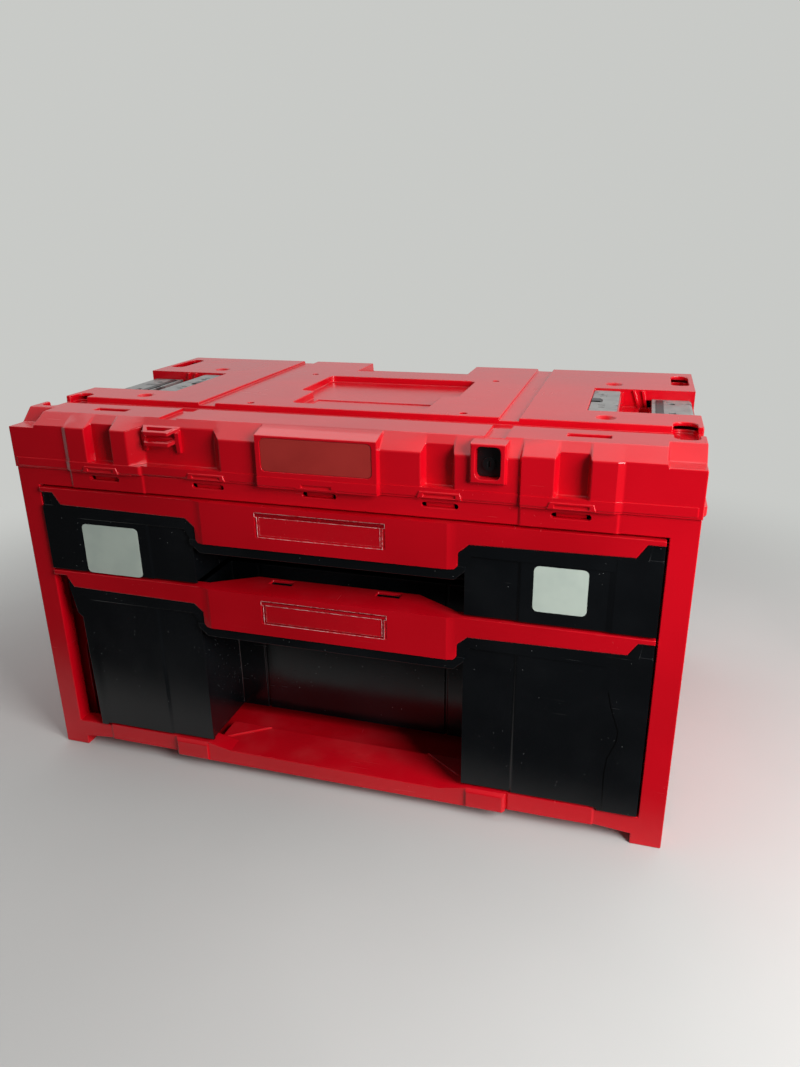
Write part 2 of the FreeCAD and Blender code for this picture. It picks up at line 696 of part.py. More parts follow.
def screw_holes():
    holes = []
    radius = SCREW_SHANK_R + PIN_GAP
    for side in (-1, 1):
        for name, top, bottom in DRAWERS:
            for y in slide_screw_places():
                ends = sorted((side * (BOARD_X - OVERRUN), side * (BOARD_X + WALL + OVERRUN)))
                holes.append(pin_x(ends[0], ends[1], y, slide_height(top), radius))
    return holes


# Telescopic slides: three sections nested in one another, each held by the lips
# of the one around it
def channel_section(web, tip, half, lip, sheet):
    # a C in the plane across the slide: depth from the cabinet side, height
    step = 1 if tip > web else -1
    inner = web + step * sheet
    return [(web, -half), (tip, -half), (tip, -half + sheet + lip),
            (tip - step * sheet, -half + sheet + lip), (tip - step * sheet, -half + sheet),
            (inner, -half + sheet), (inner, half - sheet),
            (tip - step * sheet, half - sheet), (tip - step * sheet, half - sheet - lip),
            (tip, half - sheet - lip), (tip, half), (web, half)]


OUTER_HALF = SLIDE_HEIGHT / 2
OUTER_TIP = SLIDE_WIDTH - SLIDE_SHEET - RUN_GAP
MIDDLE_HALF = OUTER_HALF - SLIDE_SHEET - RUN_GAP
MIDDLE_WEB = SLIDE_SHEET + SCREW_HEAD_H + 2 * RUN_GAP
MIDDLE_TIP = OUTER_TIP - SLIDE_SHEET - RUN_GAP
INNER_HALF = MIDDLE_HALF - SLIDE_SHEET - RUN_GAP
INNER_NECK_HALF = INNER_HALF - MIDDLE_LIP
INNER_SHOULDER = MIDDLE_TIP - SLIDE_SHEET - RUN_GAP
INNER_TIP = MIDDLE_WEB + SLIDE_SHEET + RUN_GAP


def hat_section():
    # the drawer's member: its shoulders run behind the lips of the middle one
    outer = [(SLIDE_WIDTH, INNER_NECK_HALF), (INNER_SHOULDER, INNER_NECK_HALF),
             (INNER_SHOULDER, INNER_HALF), (INNER_TIP, INNER_HALF)]
    inner = [(INNER_TIP, INNER_HALF - SLIDE_SHEET),
             (INNER_SHOULDER - SLIDE_SHEET, INNER_HALF - SLIDE_SHEET),
             (INNER_SHOULDER - SLIDE_SHEET, INNER_NECK_HALF - SLIDE_SHEET),
             (SLIDE_WIDTH - SLIDE_SHEET, INNER_NECK_HALF - SLIDE_SHEET)]
    upper = outer + inner
    return upper + [(u, -v) for u, v in reversed(upper)]


def slide_member(side, height, member):
    sections = {"outer": channel_section(0, OUTER_TIP, OUTER_HALF, OUTER_LIP, SLIDE_SHEET),
                "middle": channel_section(MIDDLE_WEB, MIDDLE_TIP, MIDDLE_HALF, MIDDLE_LIP, SLIDE_SHEET),
                "inner": hat_section()}
    start = {"outer": 0, "middle": SLIDE_END_STEP / 2, "inner": SLIDE_END_STEP}[member]
    section = sections[member]
    points = [Vector(side * (BOARD_X - u), SLIDE_FRONT + start, height + v) for u, v in section]
    body = closed_face(points).extrude(Vector(0, SLIDE_BACK - SLIDE_FRONT - 2 * start, 0))
    if member == "middle":
        return body
    web = 0 if member == "outer" else SLIDE_WIDTH - SLIDE_SHEET
    holes = []
    for y in slide_screw_places():
        ends = sorted((side * (BOARD_X - web + OVERRUN), side * (BOARD_X - web - SLIDE_SHEET - OVERRUN)))
        holes.append(pin_x(ends[0], ends[1], y, height, SCREW_SHANK_R + PIN_GAP))
    return body.cut(holes)


def slide_screw(side, y, height, on_drawer):
    # the head lies on the sheet of the member, the shank runs into the plastic
    way = -side if on_drawer else side
    face = side * (BOARD_X - SLIDE_SHEET if not on_drawer else BOARD_X - SLIDE_WIDTH + SLIDE_SHEET)
    top = face - way * SCREW_HEAD_H
    length = SLIDE_SHEET + (WALL if not on_drawer else DRAWER_PLAY + THIN_WALL)
    head = pin_x(top, face, y, height, SCREW_HEAD_R, SMALL_ROUND_SIDES)
    shank = pin_x(face, face + way * length, y, height, SCREW_SHANK_R)
    return fuse([head, shank])


# Drawers
def tray_plan(wall):
    # the outline of the tray seen from above, moved in by wall
    front = PANEL_Y + wall
    well = WELL_HALF + wall
    back = TRAY_BACK - wall
    half = TRAY_HALF - wall
    well_back = BODY_FRONT + WELL_DEPTH + wall
    return [(-half, front), (-well, front), (-well, well_back), (well, well_back),
            (well, front), (half, front), (half, back), (-half, back)]


def both_sides(right):
    return right + [(-x, z) for x, z in reversed(right)]


def trim_outline(top):
    # below the wings the lower edge rises a little towards the ends
    wing_z = top - TRIM_WING_HEIGHT
    tip_z = top - TRIM_TIP_HEIGHT
    cut_end = FLANGE_HALF - TRIM_TIP_WIDTH
    handle_z = top - TRIM_HANDLE_HEIGHT
    return both_sides([(HANDLE_HALF - HANDLE_CHAMFER, handle_z), (HANDLE_HALF, handle_z + HANDLE_CHAMFER),
                       (HANDLE_HALF, top - HANDLE_SIDE_HEIGHT), (HANDLE_HALF + HANDLE_SLOPE, wing_z),
                       (cut_end - TRIM_END_SLOPE, wing_z + TRIM_RISE), (cut_end, tip_z),
                       (FLANGE_HALF, tip_z), (FLANGE_HALF, top)])


def rim_outline(top):
    wing_z = top - TRIM_WING_HEIGHT - RIM_HEIGHT
    handle_z = top - TRIM_HANDLE_HEIGHT - RIM_HEIGHT
    end = WELL_HALF + RIM_DEPTH / 2
    return both_sides([(HANDLE_HALF - HANDLE_CHAMFER, handle_z), (WELL_HALF, handle_z + HANDLE_CORNER),
                       (WELL_HALF, wing_z - RIM_HEIGHT), (end, wing_z),
                       (FLANGE_HALF - RIM_END, wing_z), (FLANGE_HALF - RIM_TIP, top - TRIM_TIP_HEIGHT)])


def wing_panel(side, bottom, top):
    # the stepped front panel of one wing, with bevels between its facets
    front = PANEL_Y
    back = PANEL_Y + FLANGE_THICKNESS
    outline = [(WELL_HALF, back), (WELL_HALF, front),
               (PANEL_STEP_INNER, front), (PANEL_STEP_INNER + INNER_BEVEL, front - PANEL_STEP),
               (PANEL_STEP_OUTER - OUTER_BEVEL, front - PANEL_STEP),
               (PANEL_STEP_OUTER, front - 2 * PANEL_STEP),
               (FLANGE_HALF, front - 2 * PANEL_STEP), (FLANGE_HALF, back)]
    return prism_z([(side * x, y) for x, y in outline], bottom, top)


def drawer_tray(name, top, bottom):
    rim_top = top - THIN_WALL
    outer = prism_z(tray_plan(0), bottom + DRAWER_GAP, rim_top)
    inner = prism_z(tray_plan(THIN_WALL), bottom + DRAWER_GAP + THIN_WALL, rim_top + OVERRUN)
    tray = cut(outer, [inner])
    under_trim = top - TRIM_WING_HEIGHT
    panels = [wing_panel(side, bottom, under_trim) for side in (-1, 1)]
    if name == "lower":
        panels = panels + [lower_tongue(side, bottom) for side in (-1, 1)]
    backing = []
    for side in (-1, 1):
        ends = sorted((side * WELL_HALF, side * FLANGE_HALF))
        backing.append(box(ends[0], ends[1], PANEL_Y, PANEL_Y + FLANGE_THICKNESS,
                           under_trim - OVERRUN, rim_top))
    rim_front = BODY_FRONT - RIM_PROUD
    band = prism_y(rim_outline(top), rim_front, PANEL_Y + OVERRUN)
    below = top - TRIM_HANDLE_HEIGHT
    bar_outline = both_sides([(HANDLE_HALF - HANDLE_CHAMFER, below - RIM_HEIGHT),
                              (WELL_HALF + OVERRUN, below - RIM_HEIGHT + HANDLE_CORNER),
                              (WELL_HALF + OVERRUN, below + HANDLE_CHAMFER)])
    bar = prism_y(bar_outline, rim_front - PANEL_STEP, rim_front + RIM_DEPTH)
    mask = trim_outline(top)
    trim_space = prism_y(mask, FRONT - OVERRUN, PANEL_Y)
    well_space = box(-WELL_HALF, WELL_HALF, rim_front + OVERRUN, PANEL_Y + 2 * OVERRUN, bottom, rim_top + OVERRUN)
    band = cut(band, [trim_space, well_space])
    bar = cut(bar, [trim_space])
    tray = fuse([tray, band, bar] + panels + backing + pilasters(top, bottom))
    holes = trim_screw_holes(top) + inner_screw_holes(top)
    if name == "lower":
        holes.append(broken_flange(bottom, top))
    return cut(tray, holes)


def broken_flange(bottom, top):
    # the left end of the lower front is broken off along a leaning edge, but for a tip at the rim
    tip = BROKEN_EDGE + BROKEN_LEAN + BROKEN_TIP
    rim_foot = top - TRIM_WING_HEIGHT - RIM_HEIGHT
    outline = [(-OPENING_HALF, bottom - RAIL_STEP - OVERRUN), (-BROKEN_EDGE, bottom - RAIL_STEP - OVERRUN),
               (-BROKEN_EDGE - BROKEN_LEAN, rim_foot - BROKEN_TIP_LENGTH),
               (-tip + BROKEN_TIP_SLOPE, rim_foot - BROKEN_TIP_LENGTH + BROKEN_TIP_SLOPE),
               (-tip + BROKEN_TIP_SLOPE / 2, rim_foot), (-tip, top - TRIM_WING_HEIGHT),
               (-tip, top + OVERRUN), (-OPENING_HALF, top + OVERRUN)]
    return prism_y(outline, FRONT - OVERRUN, PANEL_Y + FLANGE_THICKNESS + OVERRUN)


def lower_tongue(side, bottom):
    # the outer facet reaches down over the step in the front rail
    ends = sorted((side * PANEL_STEP_OUTER, side * FLANGE_HALF))
    return box(ends[0], ends[1], PANEL_Y - 2 * PANEL_STEP, PANEL_Y + FLANGE_THICKNESS,
               bottom - RAIL_STEP, bottom + OVERRUN)


def pilasters(top, bottom):
    parts = []
    wall_y = BODY_FRONT + WELL_DEPTH
    for side in (-1, 1):
        ends = sorted((side * PILASTER_HALF, side * (WELL_HALF + THIN_WALL / 2)))
        parts.append(box(ends[0], ends[1], wall_y - PILASTER_PROUD, wall_y + THIN_WALL / 2,
                         bottom + DRAWER_GAP, top - THIN_WALL))
    inner = PILASTER_HALF - GROOVE_WIDTH
    parts.append(box(-inner, inner, wall_y - PILASTER_PROUD, wall_y + THIN_WALL / 2,
                     bottom + DRAWER_GAP, top - THIN_WALL))
    return parts


def trim_screw_holes(top):
    holes = []
    for side in (-1, 1):
        for x in TRIM_SCREW_X:
            holes.append(pin_y(side * x, top - TRIM_SCREW_BELOW, PANEL_Y - OVERRUN,
                               PANEL_Y + FLANGE_THICKNESS + OVERRUN, SCREW_SHANK_R + PIN_GAP))
    return holes


def inner_screw_holes(top):
    holes = []
    for side in (-1, 1):
        for y in slide_screw_places():
            ends = sorted((side * (TRAY_HALF + OVERRUN), side * (TRAY_HALF - THIN_WALL - OVERRUN)))
            holes.append(pin_x(ends[0], ends[1], y, slide_height(top), SCREW_SHANK_R + PIN_GAP))
    return holes


def drawer_trim(top):
    # the front strip, deepened in the middle into a hollow pull handle
    outline = trim_outline(top)
    strip = prism_y(outline, BODY_FRONT - TRIM_PROUD, PANEL_Y)
    handle_z = top - TRIM_HANDLE_HEIGHT
    front = BODY_FRONT - HANDLE_PROUD
    corner = HANDLE_HALF - HANDLE_CORNER
    plan = [(-HANDLE_HALF, PANEL_Y), (-HANDLE_HALF, BODY_FRONT - TRIM_PROUD), (-corner, front),
            (corner, front), (HANDLE_HALF, BODY_FRONT - TRIM_PROUD), (HANDLE_HALF, PANEL_Y)]
    face = prism_z(plan, handle_z, top).common(prism_y(handle_front(top), FRONT, PANEL_Y))
    hollow = box(-corner, corner, front + HANDLE_WALL, PANEL_Y + OVERRUN,
                 handle_z - OVERRUN, top - HANDLE_WALL)
    shelf_back = BODY_FRONT - HANDLE_PROUD + HANDLE_DEPTH
    end = HANDLE_HALF - RUN_GAP
    shelf_plan = [(-end, PANEL_Y - OVERRUN), (end, PANEL_Y - OVERRUN),
                  (end, PANEL_Y + HANDLE_CORNER), (HANDLE_SHELF_END, shelf_back),
                  (-HANDLE_SHELF_END, shelf_back), (-end, PANEL_Y + HANDLE_CORNER)]
    shelf = prism_z(shelf_plan, top - HANDLE_WALL, top)
    flange = box(-FLANGE_HALF, FLANGE_HALF, BODY_FRONT - TRIM_PROUD,
                 PANEL_Y + TRIM_FLANGE_DEPTH, top - THIN_WALL, top)
    ribs = []
    for x in (-HANDLE_SHELF_END, 0, HANDLE_SHELF_END):
        rib = [(front + HANDLE_WALL / 2, top - HANDLE_WALL / 2),
               (front + HANDLE_WALL / 2, handle_z + HANDLE_WALL),
               (front + HANDLE_WALL + OVERRUN, handle_z + HANDLE_WALL),
               (shelf_back - HANDLE_CORNER, top - HANDLE_WALL / 2)]
        ribs.append(prism_x(rib, x - THIN_WALL / 2, x + THIN_WALL / 2))
    reliefs = []
    for side in (-1, 1):
        reliefs.append(box(side * RELIEF_X - RELIEF_WIDTH / 2, side * RELIEF_X + RELIEF_WIDTH / 2,
                           shelf_back - RELIEF_SETBACK - RELIEF_LENGTH,
                           shelf_back - RELIEF_SETBACK, top - HANDLE_WALL - OVERRUN, top + OVERRUN))
    holes = []
    for side in (-1, 1):
        for x in TRIM_SCREW_X:
            holes.append(pin_y(side * x, top - TRIM_SCREW_BELOW, PANEL_Y - THIN_WALL,
                               PANEL_Y + OVERRUN, SCREW_SHANK_R + PIN_GAP))
    trim = fuse([strip, face])
    trim = cut(trim, [hollow])
    trim = fuse([trim, shelf, flange] + ribs)
    high = top - LABEL_BELOW
    pocket = box(-LABEL_HALF, LABEL_HALF, front - OVERRUN, front + LABEL_POCKET, high - LABEL_HEIGHT, high)
    trim = cut(trim, reliefs + holes + [pocket])
    try_edges = [edge for edge in trim.Edges if handle_upright(edge, handle_z)]
    return trim.makeFillet(HANDLE_CORNER / 3, try_edges) if try_edges else trim


def handle_upright(edge, handle_z):
    # the two upright edges where the handle's face turns back to the strip
    if len(edge.Vertexes) != 2:
        return False
    low, high = edge.Vertexes[0].Point, edge.Vertexes[1].Point
    upright = abs(low.x - high.x) + abs(low.y - high.y) < PIN_GAP
    corner = HANDLE_HALF - HANDLE_CORNER
    at_corner = abs(abs(low.x) - corner) < PIN_GAP and abs(low.y - (BODY_FRONT - HANDLE_PROUD)) < PIN_GAP
    return upright and at_corner and abs(low.z - high.z) > HANDLE_CORNER


def handle_front(top):
    handle_z = top - TRIM_HANDLE_HEIGHT
    return both_sides([(HANDLE_HALF - HANDLE_CHAMFER, handle_z), (HANDLE_HALF, handle_z + HANDLE_CHAMFER),
                       (HANDLE_HALF, top)])


def trim_screws(top):
    screws = []
    for side in (-1, 1):
        for x in TRIM_SCREW_X:
            seat = PANEL_Y + FLANGE_THICKNESS
            head = pin_y(side * x, top - TRIM_SCREW_BELOW, seat, seat + SCREW_HEAD_H,
                         SCREW_HEAD_R, SMALL_ROUND_SIDES)
            shank = pin_y(side * x, top - TRIM_SCREW_BELOW, seat - TRIM_SCREW_L, seat, SCREW_SHANK_R)
            screws.append(fuse([head, shank]))
    return Part.makeCompound(screws)


def label_holder(top):
    # a clear window with a thick ridge along its top, on the face of the handle
    face = BODY_FRONT - HANDLE_PROUD + LABEL_POCKET
    high = top - LABEL_BELOW
    low = high - LABEL_HEIGHT
    plate = box(-LABEL_HALF + LABEL_RIDGE / 2, LABEL_HALF - LABEL_RIDGE / 2, face - LABEL_THICKNESS,
                face, low, high - LABEL_RIDGE / 2)
    edge = PIN_GAP + LABEL_THICKNESS / 2
    window = box(-LABEL_HALF + LABEL_RIDGE, LABEL_HALF - LABEL_RIDGE, face - edge, face + OVERRUN,
                 low + LABEL_RIDGE / 2, high - LABEL_RIDGE)
    outline = [(face, high - LABEL_RIDGE), (face - LABEL_RIDGE_PROUD / 2, high - LABEL_RIDGE),
               (face - LABEL_RIDGE_PROUD, high - LABEL_RIDGE / 2),
               (face - LABEL_RIDGE_PROUD / 2, high), (face, high)]
    ridge = prism_x(outline, -LABEL_HALF, LABEL_HALF)
    return fuse([cut(plate, [window]), ridge])


def sticker(span, top, below, height):
    x0, x1 = span
    high = top - below
    face = PANEL_Y - PANEL_STEP
    return rounded_plate_y(x0, x1, high - height, high, face - STICKER_THICKNESS, face, STICKER_CORNER)


# Lid
def lid_profile(front, edge_z, slope_y, slope_z, ledge_y):
    # one cross-section of the lid from the front seam over the deck to the back
    return [(front, LID_BASE), (front, edge_z), (slope_y, slope_z), (ledge_y, LEDGE_Z),
            (GROOVE_FRONT, LEDGE_Z), (GROOVE_FRONT + SIDE_STEP / 2, GROOVE_Z),
            (DECK_FRONT - SIDE_STEP / 4, GROOVE_Z), (DECK_FRONT, DECK_Z), (DECK_BACK, DECK_Z),
            (DECK_BACK + SIDE_STEP, REAR_LEDGE_Z), (LID_BACK - LIP_HEIGHT, REAR_LEDGE_Z),
            (LID_BACK, REAR_LEDGE_Z - LIP_HEIGHT), (LID_BACK, LID_BASE)]


def sloped_profile(front, edge_z):
    # a band whose top slopes evenly from its front edge to the ledge
    return lid_profile(front, edge_z, (front + LEDGE_FRONT) / 2, (edge_z + LEDGE_Z) / 2, LEDGE_FRONT)


def lid_profiles():
    return {
        "plate": sloped_profile(PLATE_BAND_Y, PLATE_BAND_EDGE),
        "middle": sloped_profile(MIDDLE_BAND_Y, MIDDLE_BAND_EDGE),
        "recess": sloped_profile(MIDDLE_BAND_Y + RECESS_DEPTH, RECESS_EDGE),
        "outer": sloped_profile(OUTER_BAND_Y, OUTER_BAND_EDGE),
        "outer_recess": sloped_profile(OUTER_BAND_Y + RECESS_DEPTH, RECESS_EDGE),
        "end": sloped_profile(END_BAND_Y, OUTER_BAND_EDGE),
        "corner": lid_profile(END_BAND_Y, CORNER_STEP_Z, CORNER_SLOPE_FOOT,
                              CORNER_STEP_Z, CORNER_SLOPE_TOP),
    }


def outer_stations():
    # from the outer band to the side of the lid, the same on both sides
    return [(MIDDLE_BAND_HALF + BAND_BEVEL, "outer"),
            (OUTER_RECESS[0] - RECESS_BEVEL, "outer"), (OUTER_RECESS[0], "outer_recess"),
            (OUTER_RECESS[1], "outer_recess"), (OUTER_RECESS[1] + RECESS_BEVEL, "outer"),
            (OUTER_PAD_END, "outer"), (OUTER_PAD_END + OUTER_PAD_BEVEL, "end"),
            (CORNER_X, "end"), (CORNER_X + BAND_BEVEL / 2, "corner"), (LID_HALF, "corner")]


def right_stations():
    return [(0, "plate"), (PLATE_BAND_HALF, "plate"), (PLATE_BAND_HALF + BAND_BEVEL, "middle"),
            (MIDDLE_RECESS[0] - RECESS_BEVEL, "middle"), (MIDDLE_RECESS[0], "recess"),
            (MIDDLE_RECESS[1], "recess"), (MIDDLE_RECESS[1] + RECESS_BEVEL, "middle"),
            (MIDDLE_BAND_HALF, "middle")] + outer_stations()


def left_stations():
    outer = outer_stations()
    outer[0] = (EYE_RECESS[1] + EYE_PAD_SLOPE, "outer")
    return [(PLATE_BAND_HALF, "plate"), (PLATE_BAND_HALF + BAND_BEVEL, "middle"),
            (EYE_RECESS[0] - EYE_RECESS_SLOPE, "middle"), (EYE_RECESS[0], "recess"),
            (EYE_RECESS[1], "recess")] + outer


def lid_outer():
    profiles = lid_profiles()
    stations = [(-x, kind) for x, kind in reversed(left_stations())] + right_stations()
    sections = []
    for x, kind in stations:
        points = [Vector(x, y, z) for y, z in profiles[kind]]
        sections.append(Part.makePolygon(points + [points[0]]))
    pieces = []
    for first, second in zip(sections, sections[1:]):
        pieces.append(Part.makeLoft([first, second], True, True))
    return fuse(pieces)


def lip_plan(grow):
    # the outline of the lip that overhangs the cabinet all round
    half = OVERALL_WIDTH / 2 + grow
    back = BACK + grow
    right = [(PLATE_BAND_HALF, PLATE_BAND_Y), (PLATE_BAND_HALF + BAND_BEVEL, MIDDLE_BAND_Y),
             (MIDDLE_BAND_HALF, MIDDLE_BAND_Y), (MIDDLE_BAND_HALF + BAND_BEVEL, OUTER_BAND_Y),
             (OUTER_PAD_END, OUTER_BAND_Y), (OUTER_PAD_END + OUTER_PAD_BEVEL, END_BAND_Y),
             (half + LIP_PROUD - LIP_CORNER, END_BAND_Y), (half, END_BAND_Y - LIP_PROUD + LIP_CORNER)]
    right = [(x, y - LIP_PROUD - grow) for x, y in right[:-1]] + [right[-1]]
    right = right + [(half, back - LIP_CORNER), (half - LIP_CORNER, back)]
    left = [(-x, y) for x, y in reversed(right)]
    return right + left


def lid_lip():
    low = [Vector(x, y, LID_BASE) for x, y in lip_plan(-LIP_BEVEL)]
    middle = [Vector(x, y, LID_BASE + LIP_BEVEL) for x, y in lip_plan(0)]
    high = [Vector(x, y, LID_BASE + LIP_HEIGHT) for x, y in lip_plan(0)]
    wires = [Part.makePolygon(ring + [ring[0]]) for ring in (low, middle, high)]
    bevel = Part.makeLoft(wires[:2], True, True)
    band = Part.makeLoft(wires[1:], True, True)
    return fuse([bevel, band])


def lid_cavity():
    front = MIDDLE_BAND_Y + RECESS_DEPTH + LID_SHELL
    front_ceiling = min(CORNER_STEP_Z, MIDDLE_BAND_EDGE) - LID_SHELL
    deck_y = DECK_FRONT + LID_SHELL
    outline = [(front, LID_BASE - OVERRUN), (front, front_ceiling),
               (CORNER_SLOPE_FOOT + LID_SHELL, front_ceiling), (CORNER_SLOPE_TOP, GROOVE_Z - LID_SHELL),
               (deck_y, GROOVE_Z - LID_SHELL), (deck_y, DECK_Z - LID_SHELL),
               (DECK_BACK - LID_SHELL, DECK_Z - LID_SHELL), (DECK_BACK - LID_SHELL, REAR_LEDGE_Z - LID_SHELL),
               (LID_BACK - LIP_HEIGHT, REAR_LEDGE_Z - LID_SHELL),
               (LID_BACK - LID_SHELL, REAR_LEDGE_Z - LIP_HEIGHT), (LID_BACK - LID_SHELL, LID_BASE - OVERRUN)]
    half = BODY_HALF - WALL
    return prism_x(outline, -half, half)


def dish(x, y, top_r, floor_r, depth):
    reach = top_r + THIN_WALL / 2
    cup = box(x - reach, x + reach, y - reach, y + reach, DECK_Z - depth - THIN_WALL, DECK_Z - OVERRUN)
    overrun_r = top_r + (top_r - floor_r) * OVERRUN / depth
    return cup, round_pit(x, y, DECK_Z - depth, DECK_Z + OVERRUN, floor_r, overrun_r, ROUND_SIDES)


def socket(side, place, depth):
    # a long rounded pit with its own walls under the deck
    x0, x1, y0, y1 = place
    ends = sorted((side * x0, side * x1))
    outline = [(ends[0], y0), (ends[1], y0), (ends[1], y1), (ends[0], y1)]
    pit = rounded_plate_z(outline, DECK_Z - depth, DECK_Z + OVERRUN, SOCKET_CORNER)
    walls = box(ends[0] - THIN_WALL, ends[1] + THIN_WALL, y0 - THIN_WALL, y1 + THIN_WALL,
                DECK_Z - depth - THIN_WALL, GROOVE_Z)
    return walls, pit


def deck_recess_outline():
    y0, y1, y2 = RECESS_Y
    right = [(RECESS_NARROW_HALF, y0), (RECESS_NARROW_HALF, y1), (RECESS_WIDE_HALF, y1),
             (RECESS_WIDE_HALF, y2)]
    left = [(-x, y) for x, y in reversed(right)]
    return right + left


def side_pocket_tools():
    # walls added under the deck, then the pocket cut into them, for +X
    y0, y1 = POCKET_Y
    walls = box(POCKET_INNER - WALL, LID_HALF, y0 - WALL, y1 + WALL, POCKET_FLOOR - WALL, DECK_Z)
    well_walls = box(WELL_X[0] - THIN_WALL, WELL_X[1] + THIN_WALL, y0, y1,
                     POCKET_FLOOR - WELL_DROP - THIN_WALL, POCKET_FLOOR)
    pocket = box(POCKET_INNER, LID_HALF + OVERRUN, y0, y1, POCKET_FLOOR, DECK_Z + OVERRUN)
    shelf = box(POCKET_INNER - OVERRUN, SHELF_END, y0 - OVERRUN, y1 + OVERRUN, POCKET_FLOOR - OVERRUN, SHELF_Z)
    well = box(WELL_X[0], WELL_X[1], y0 + WALL, y1 - WALL, POCKET_FLOOR - WELL_DROP, POCKET_FLOOR + OVERRUN)
    ribs = []
    half = POCKET_RIB_WIDTH / 2
    for high, low in zip(POCKET_RIB_TOP_X, POCKET_RIB_FOOT_X):
        leaning = [(low - half, POCKET_FLOOR), (low + half, POCKET_FLOOR),
                   (high + half, DECK_Z - OVERRUN), (high - half, DECK_Z - OVERRUN)]
        ribs.append(prism_y(leaning, y1 - POCKET_RIB_PROUD, y1 + OVERRUN))
    hole = box(POCKET_HOLE_X[0], POCKET_HOLE_X[1], y1 - OVERRUN, y1 + WALL + OVERRUN,
               POCKET_FLOOR + RUN_GAP, POCKET_FLOOR + POCKET_HOLE_HEIGHT)
    bore = rod_y(LATCH_AXIS_X, LATCH_AXIS_Z, y0 - PIN_REACH, y1 + PIN_REACH, LATCH_PIN_R + PIN_GAP)
    return [walls, well_walls], [pocket.cut([shelf] + ribs), well, hole, bore]


def snap_parts():
    # a raised tab with a slit on the lip, and a hook behind the cabinet's rail
    added = []
    removed = []
    tab_top = LID_BASE + TAB_HEIGHT
    nose_high = LID_BASE - SLOT_BELOW_LID + SLOT_HEIGHT / 2 - RUN_GAP
    nose_low = nose_high - SLOT_HEIGHT + 2 * RUN_GAP
    hook_front = BODY_FRONT + WALL + RUN_GAP
    for x in snap_places():
        face = band_face(abs(x)) - LIP_PROUD
        proud = face - TAB_PROUD if abs(x) > PLATE_BAND_HALF else face
        outline = [(x - TAB_FOOT / 2, LID_BASE + LIP_BEVEL / 2), (x + TAB_FOOT / 2, LID_BASE + LIP_BEVEL / 2),
                   (x + TAB_WIDTH / 2, tab_top), (x - TAB_WIDTH / 2, tab_top)]
        added.append(prism_y(outline, proud, face + LIP_BEVEL))
        slit_low = LID_BASE + LIP_BEVEL
        removed.append(box(x - TAB_SLIT_WIDTH / 2, x + TAB_SLIT_WIDTH / 2, proud - OVERRUN,
                           proud + TAB_SLIT_DEPTH, slit_low, slit_low + TAB_SLIT_HEIGHT))
        added.append(box(x - HOOK_WIDTH / 2, x + HOOK_WIDTH / 2, hook_front, hook_front + HOOK_THICKNESS,
                         nose_low - HOOK_NOSE, LID_BASE + OVERRUN))
        nose = [(hook_front + OVERRUN, nose_low), (hook_front - HOOK_NOSE / 2, nose_low),
                (hook_front - HOOK_NOSE, nose_high), (hook_front + OVERRUN, nose_high)]
        added.append(prism_x(nose, x - HOOK_WIDTH / 2, x + HOOK_WIDTH / 2))
    return added, removed


def window_block():
    # the block round the lock window, with its edges bevelled back to the band
    rings = []
    for y, inset in ((WINDOW_BLOCK_Y, BAND_BEVEL / 2), (WINDOW_BLOCK_Y + WINDOW_BEVEL_Y, 0),
                     (LEDGE_FRONT - SIDE_STEP, 0)):
        x0 = WINDOW_BLOCK[0] + inset
        x1 = WINDOW_BLOCK[1] - inset
        z0 = LID_BASE + WINDOW_BLOCK_RISE + inset
        z1 = WINDOW_BLOCK_TOP - inset
        ring = [Vector(x0, y, z0), Vector(x1, y, z0), Vector(x1, y, z1), Vector(x0, y, z1)]
        rings.append(Part.makePolygon(ring + [ring[0]]))
    return fuse([Part.makeLoft(pair, True, True) for pair in (rings[:2], rings[1:])])


def window_opening(y0, y1, inset):
    x0 = WINDOW_BLOCK[0] + WINDOW_FRAME + inset
    x1 = WINDOW_BLOCK[1] - WINDOW_FRAME + inset * -1
    z0 = LID_BASE + LIP_HEIGHT + WINDOW_SILL + inset
    z1 = WINDOW_BLOCK_TOP - THIN_WALL - inset
    return rounded_plate_y(x0, x1, z0, z1, y0, y1, WINDOW_CORNER - inset)


def plate_pocket(y0, y1, inset):
    z0 = LID_BASE + LIP_HEIGHT + PLATE_SILL
    return rounded_plate_y(-PLATE_HALF + inset, PLATE_HALF - inset, z0 + inset,
                           z0 + PLATE_HEIGHT - inset, y0, y1, PLATE_CORNER)


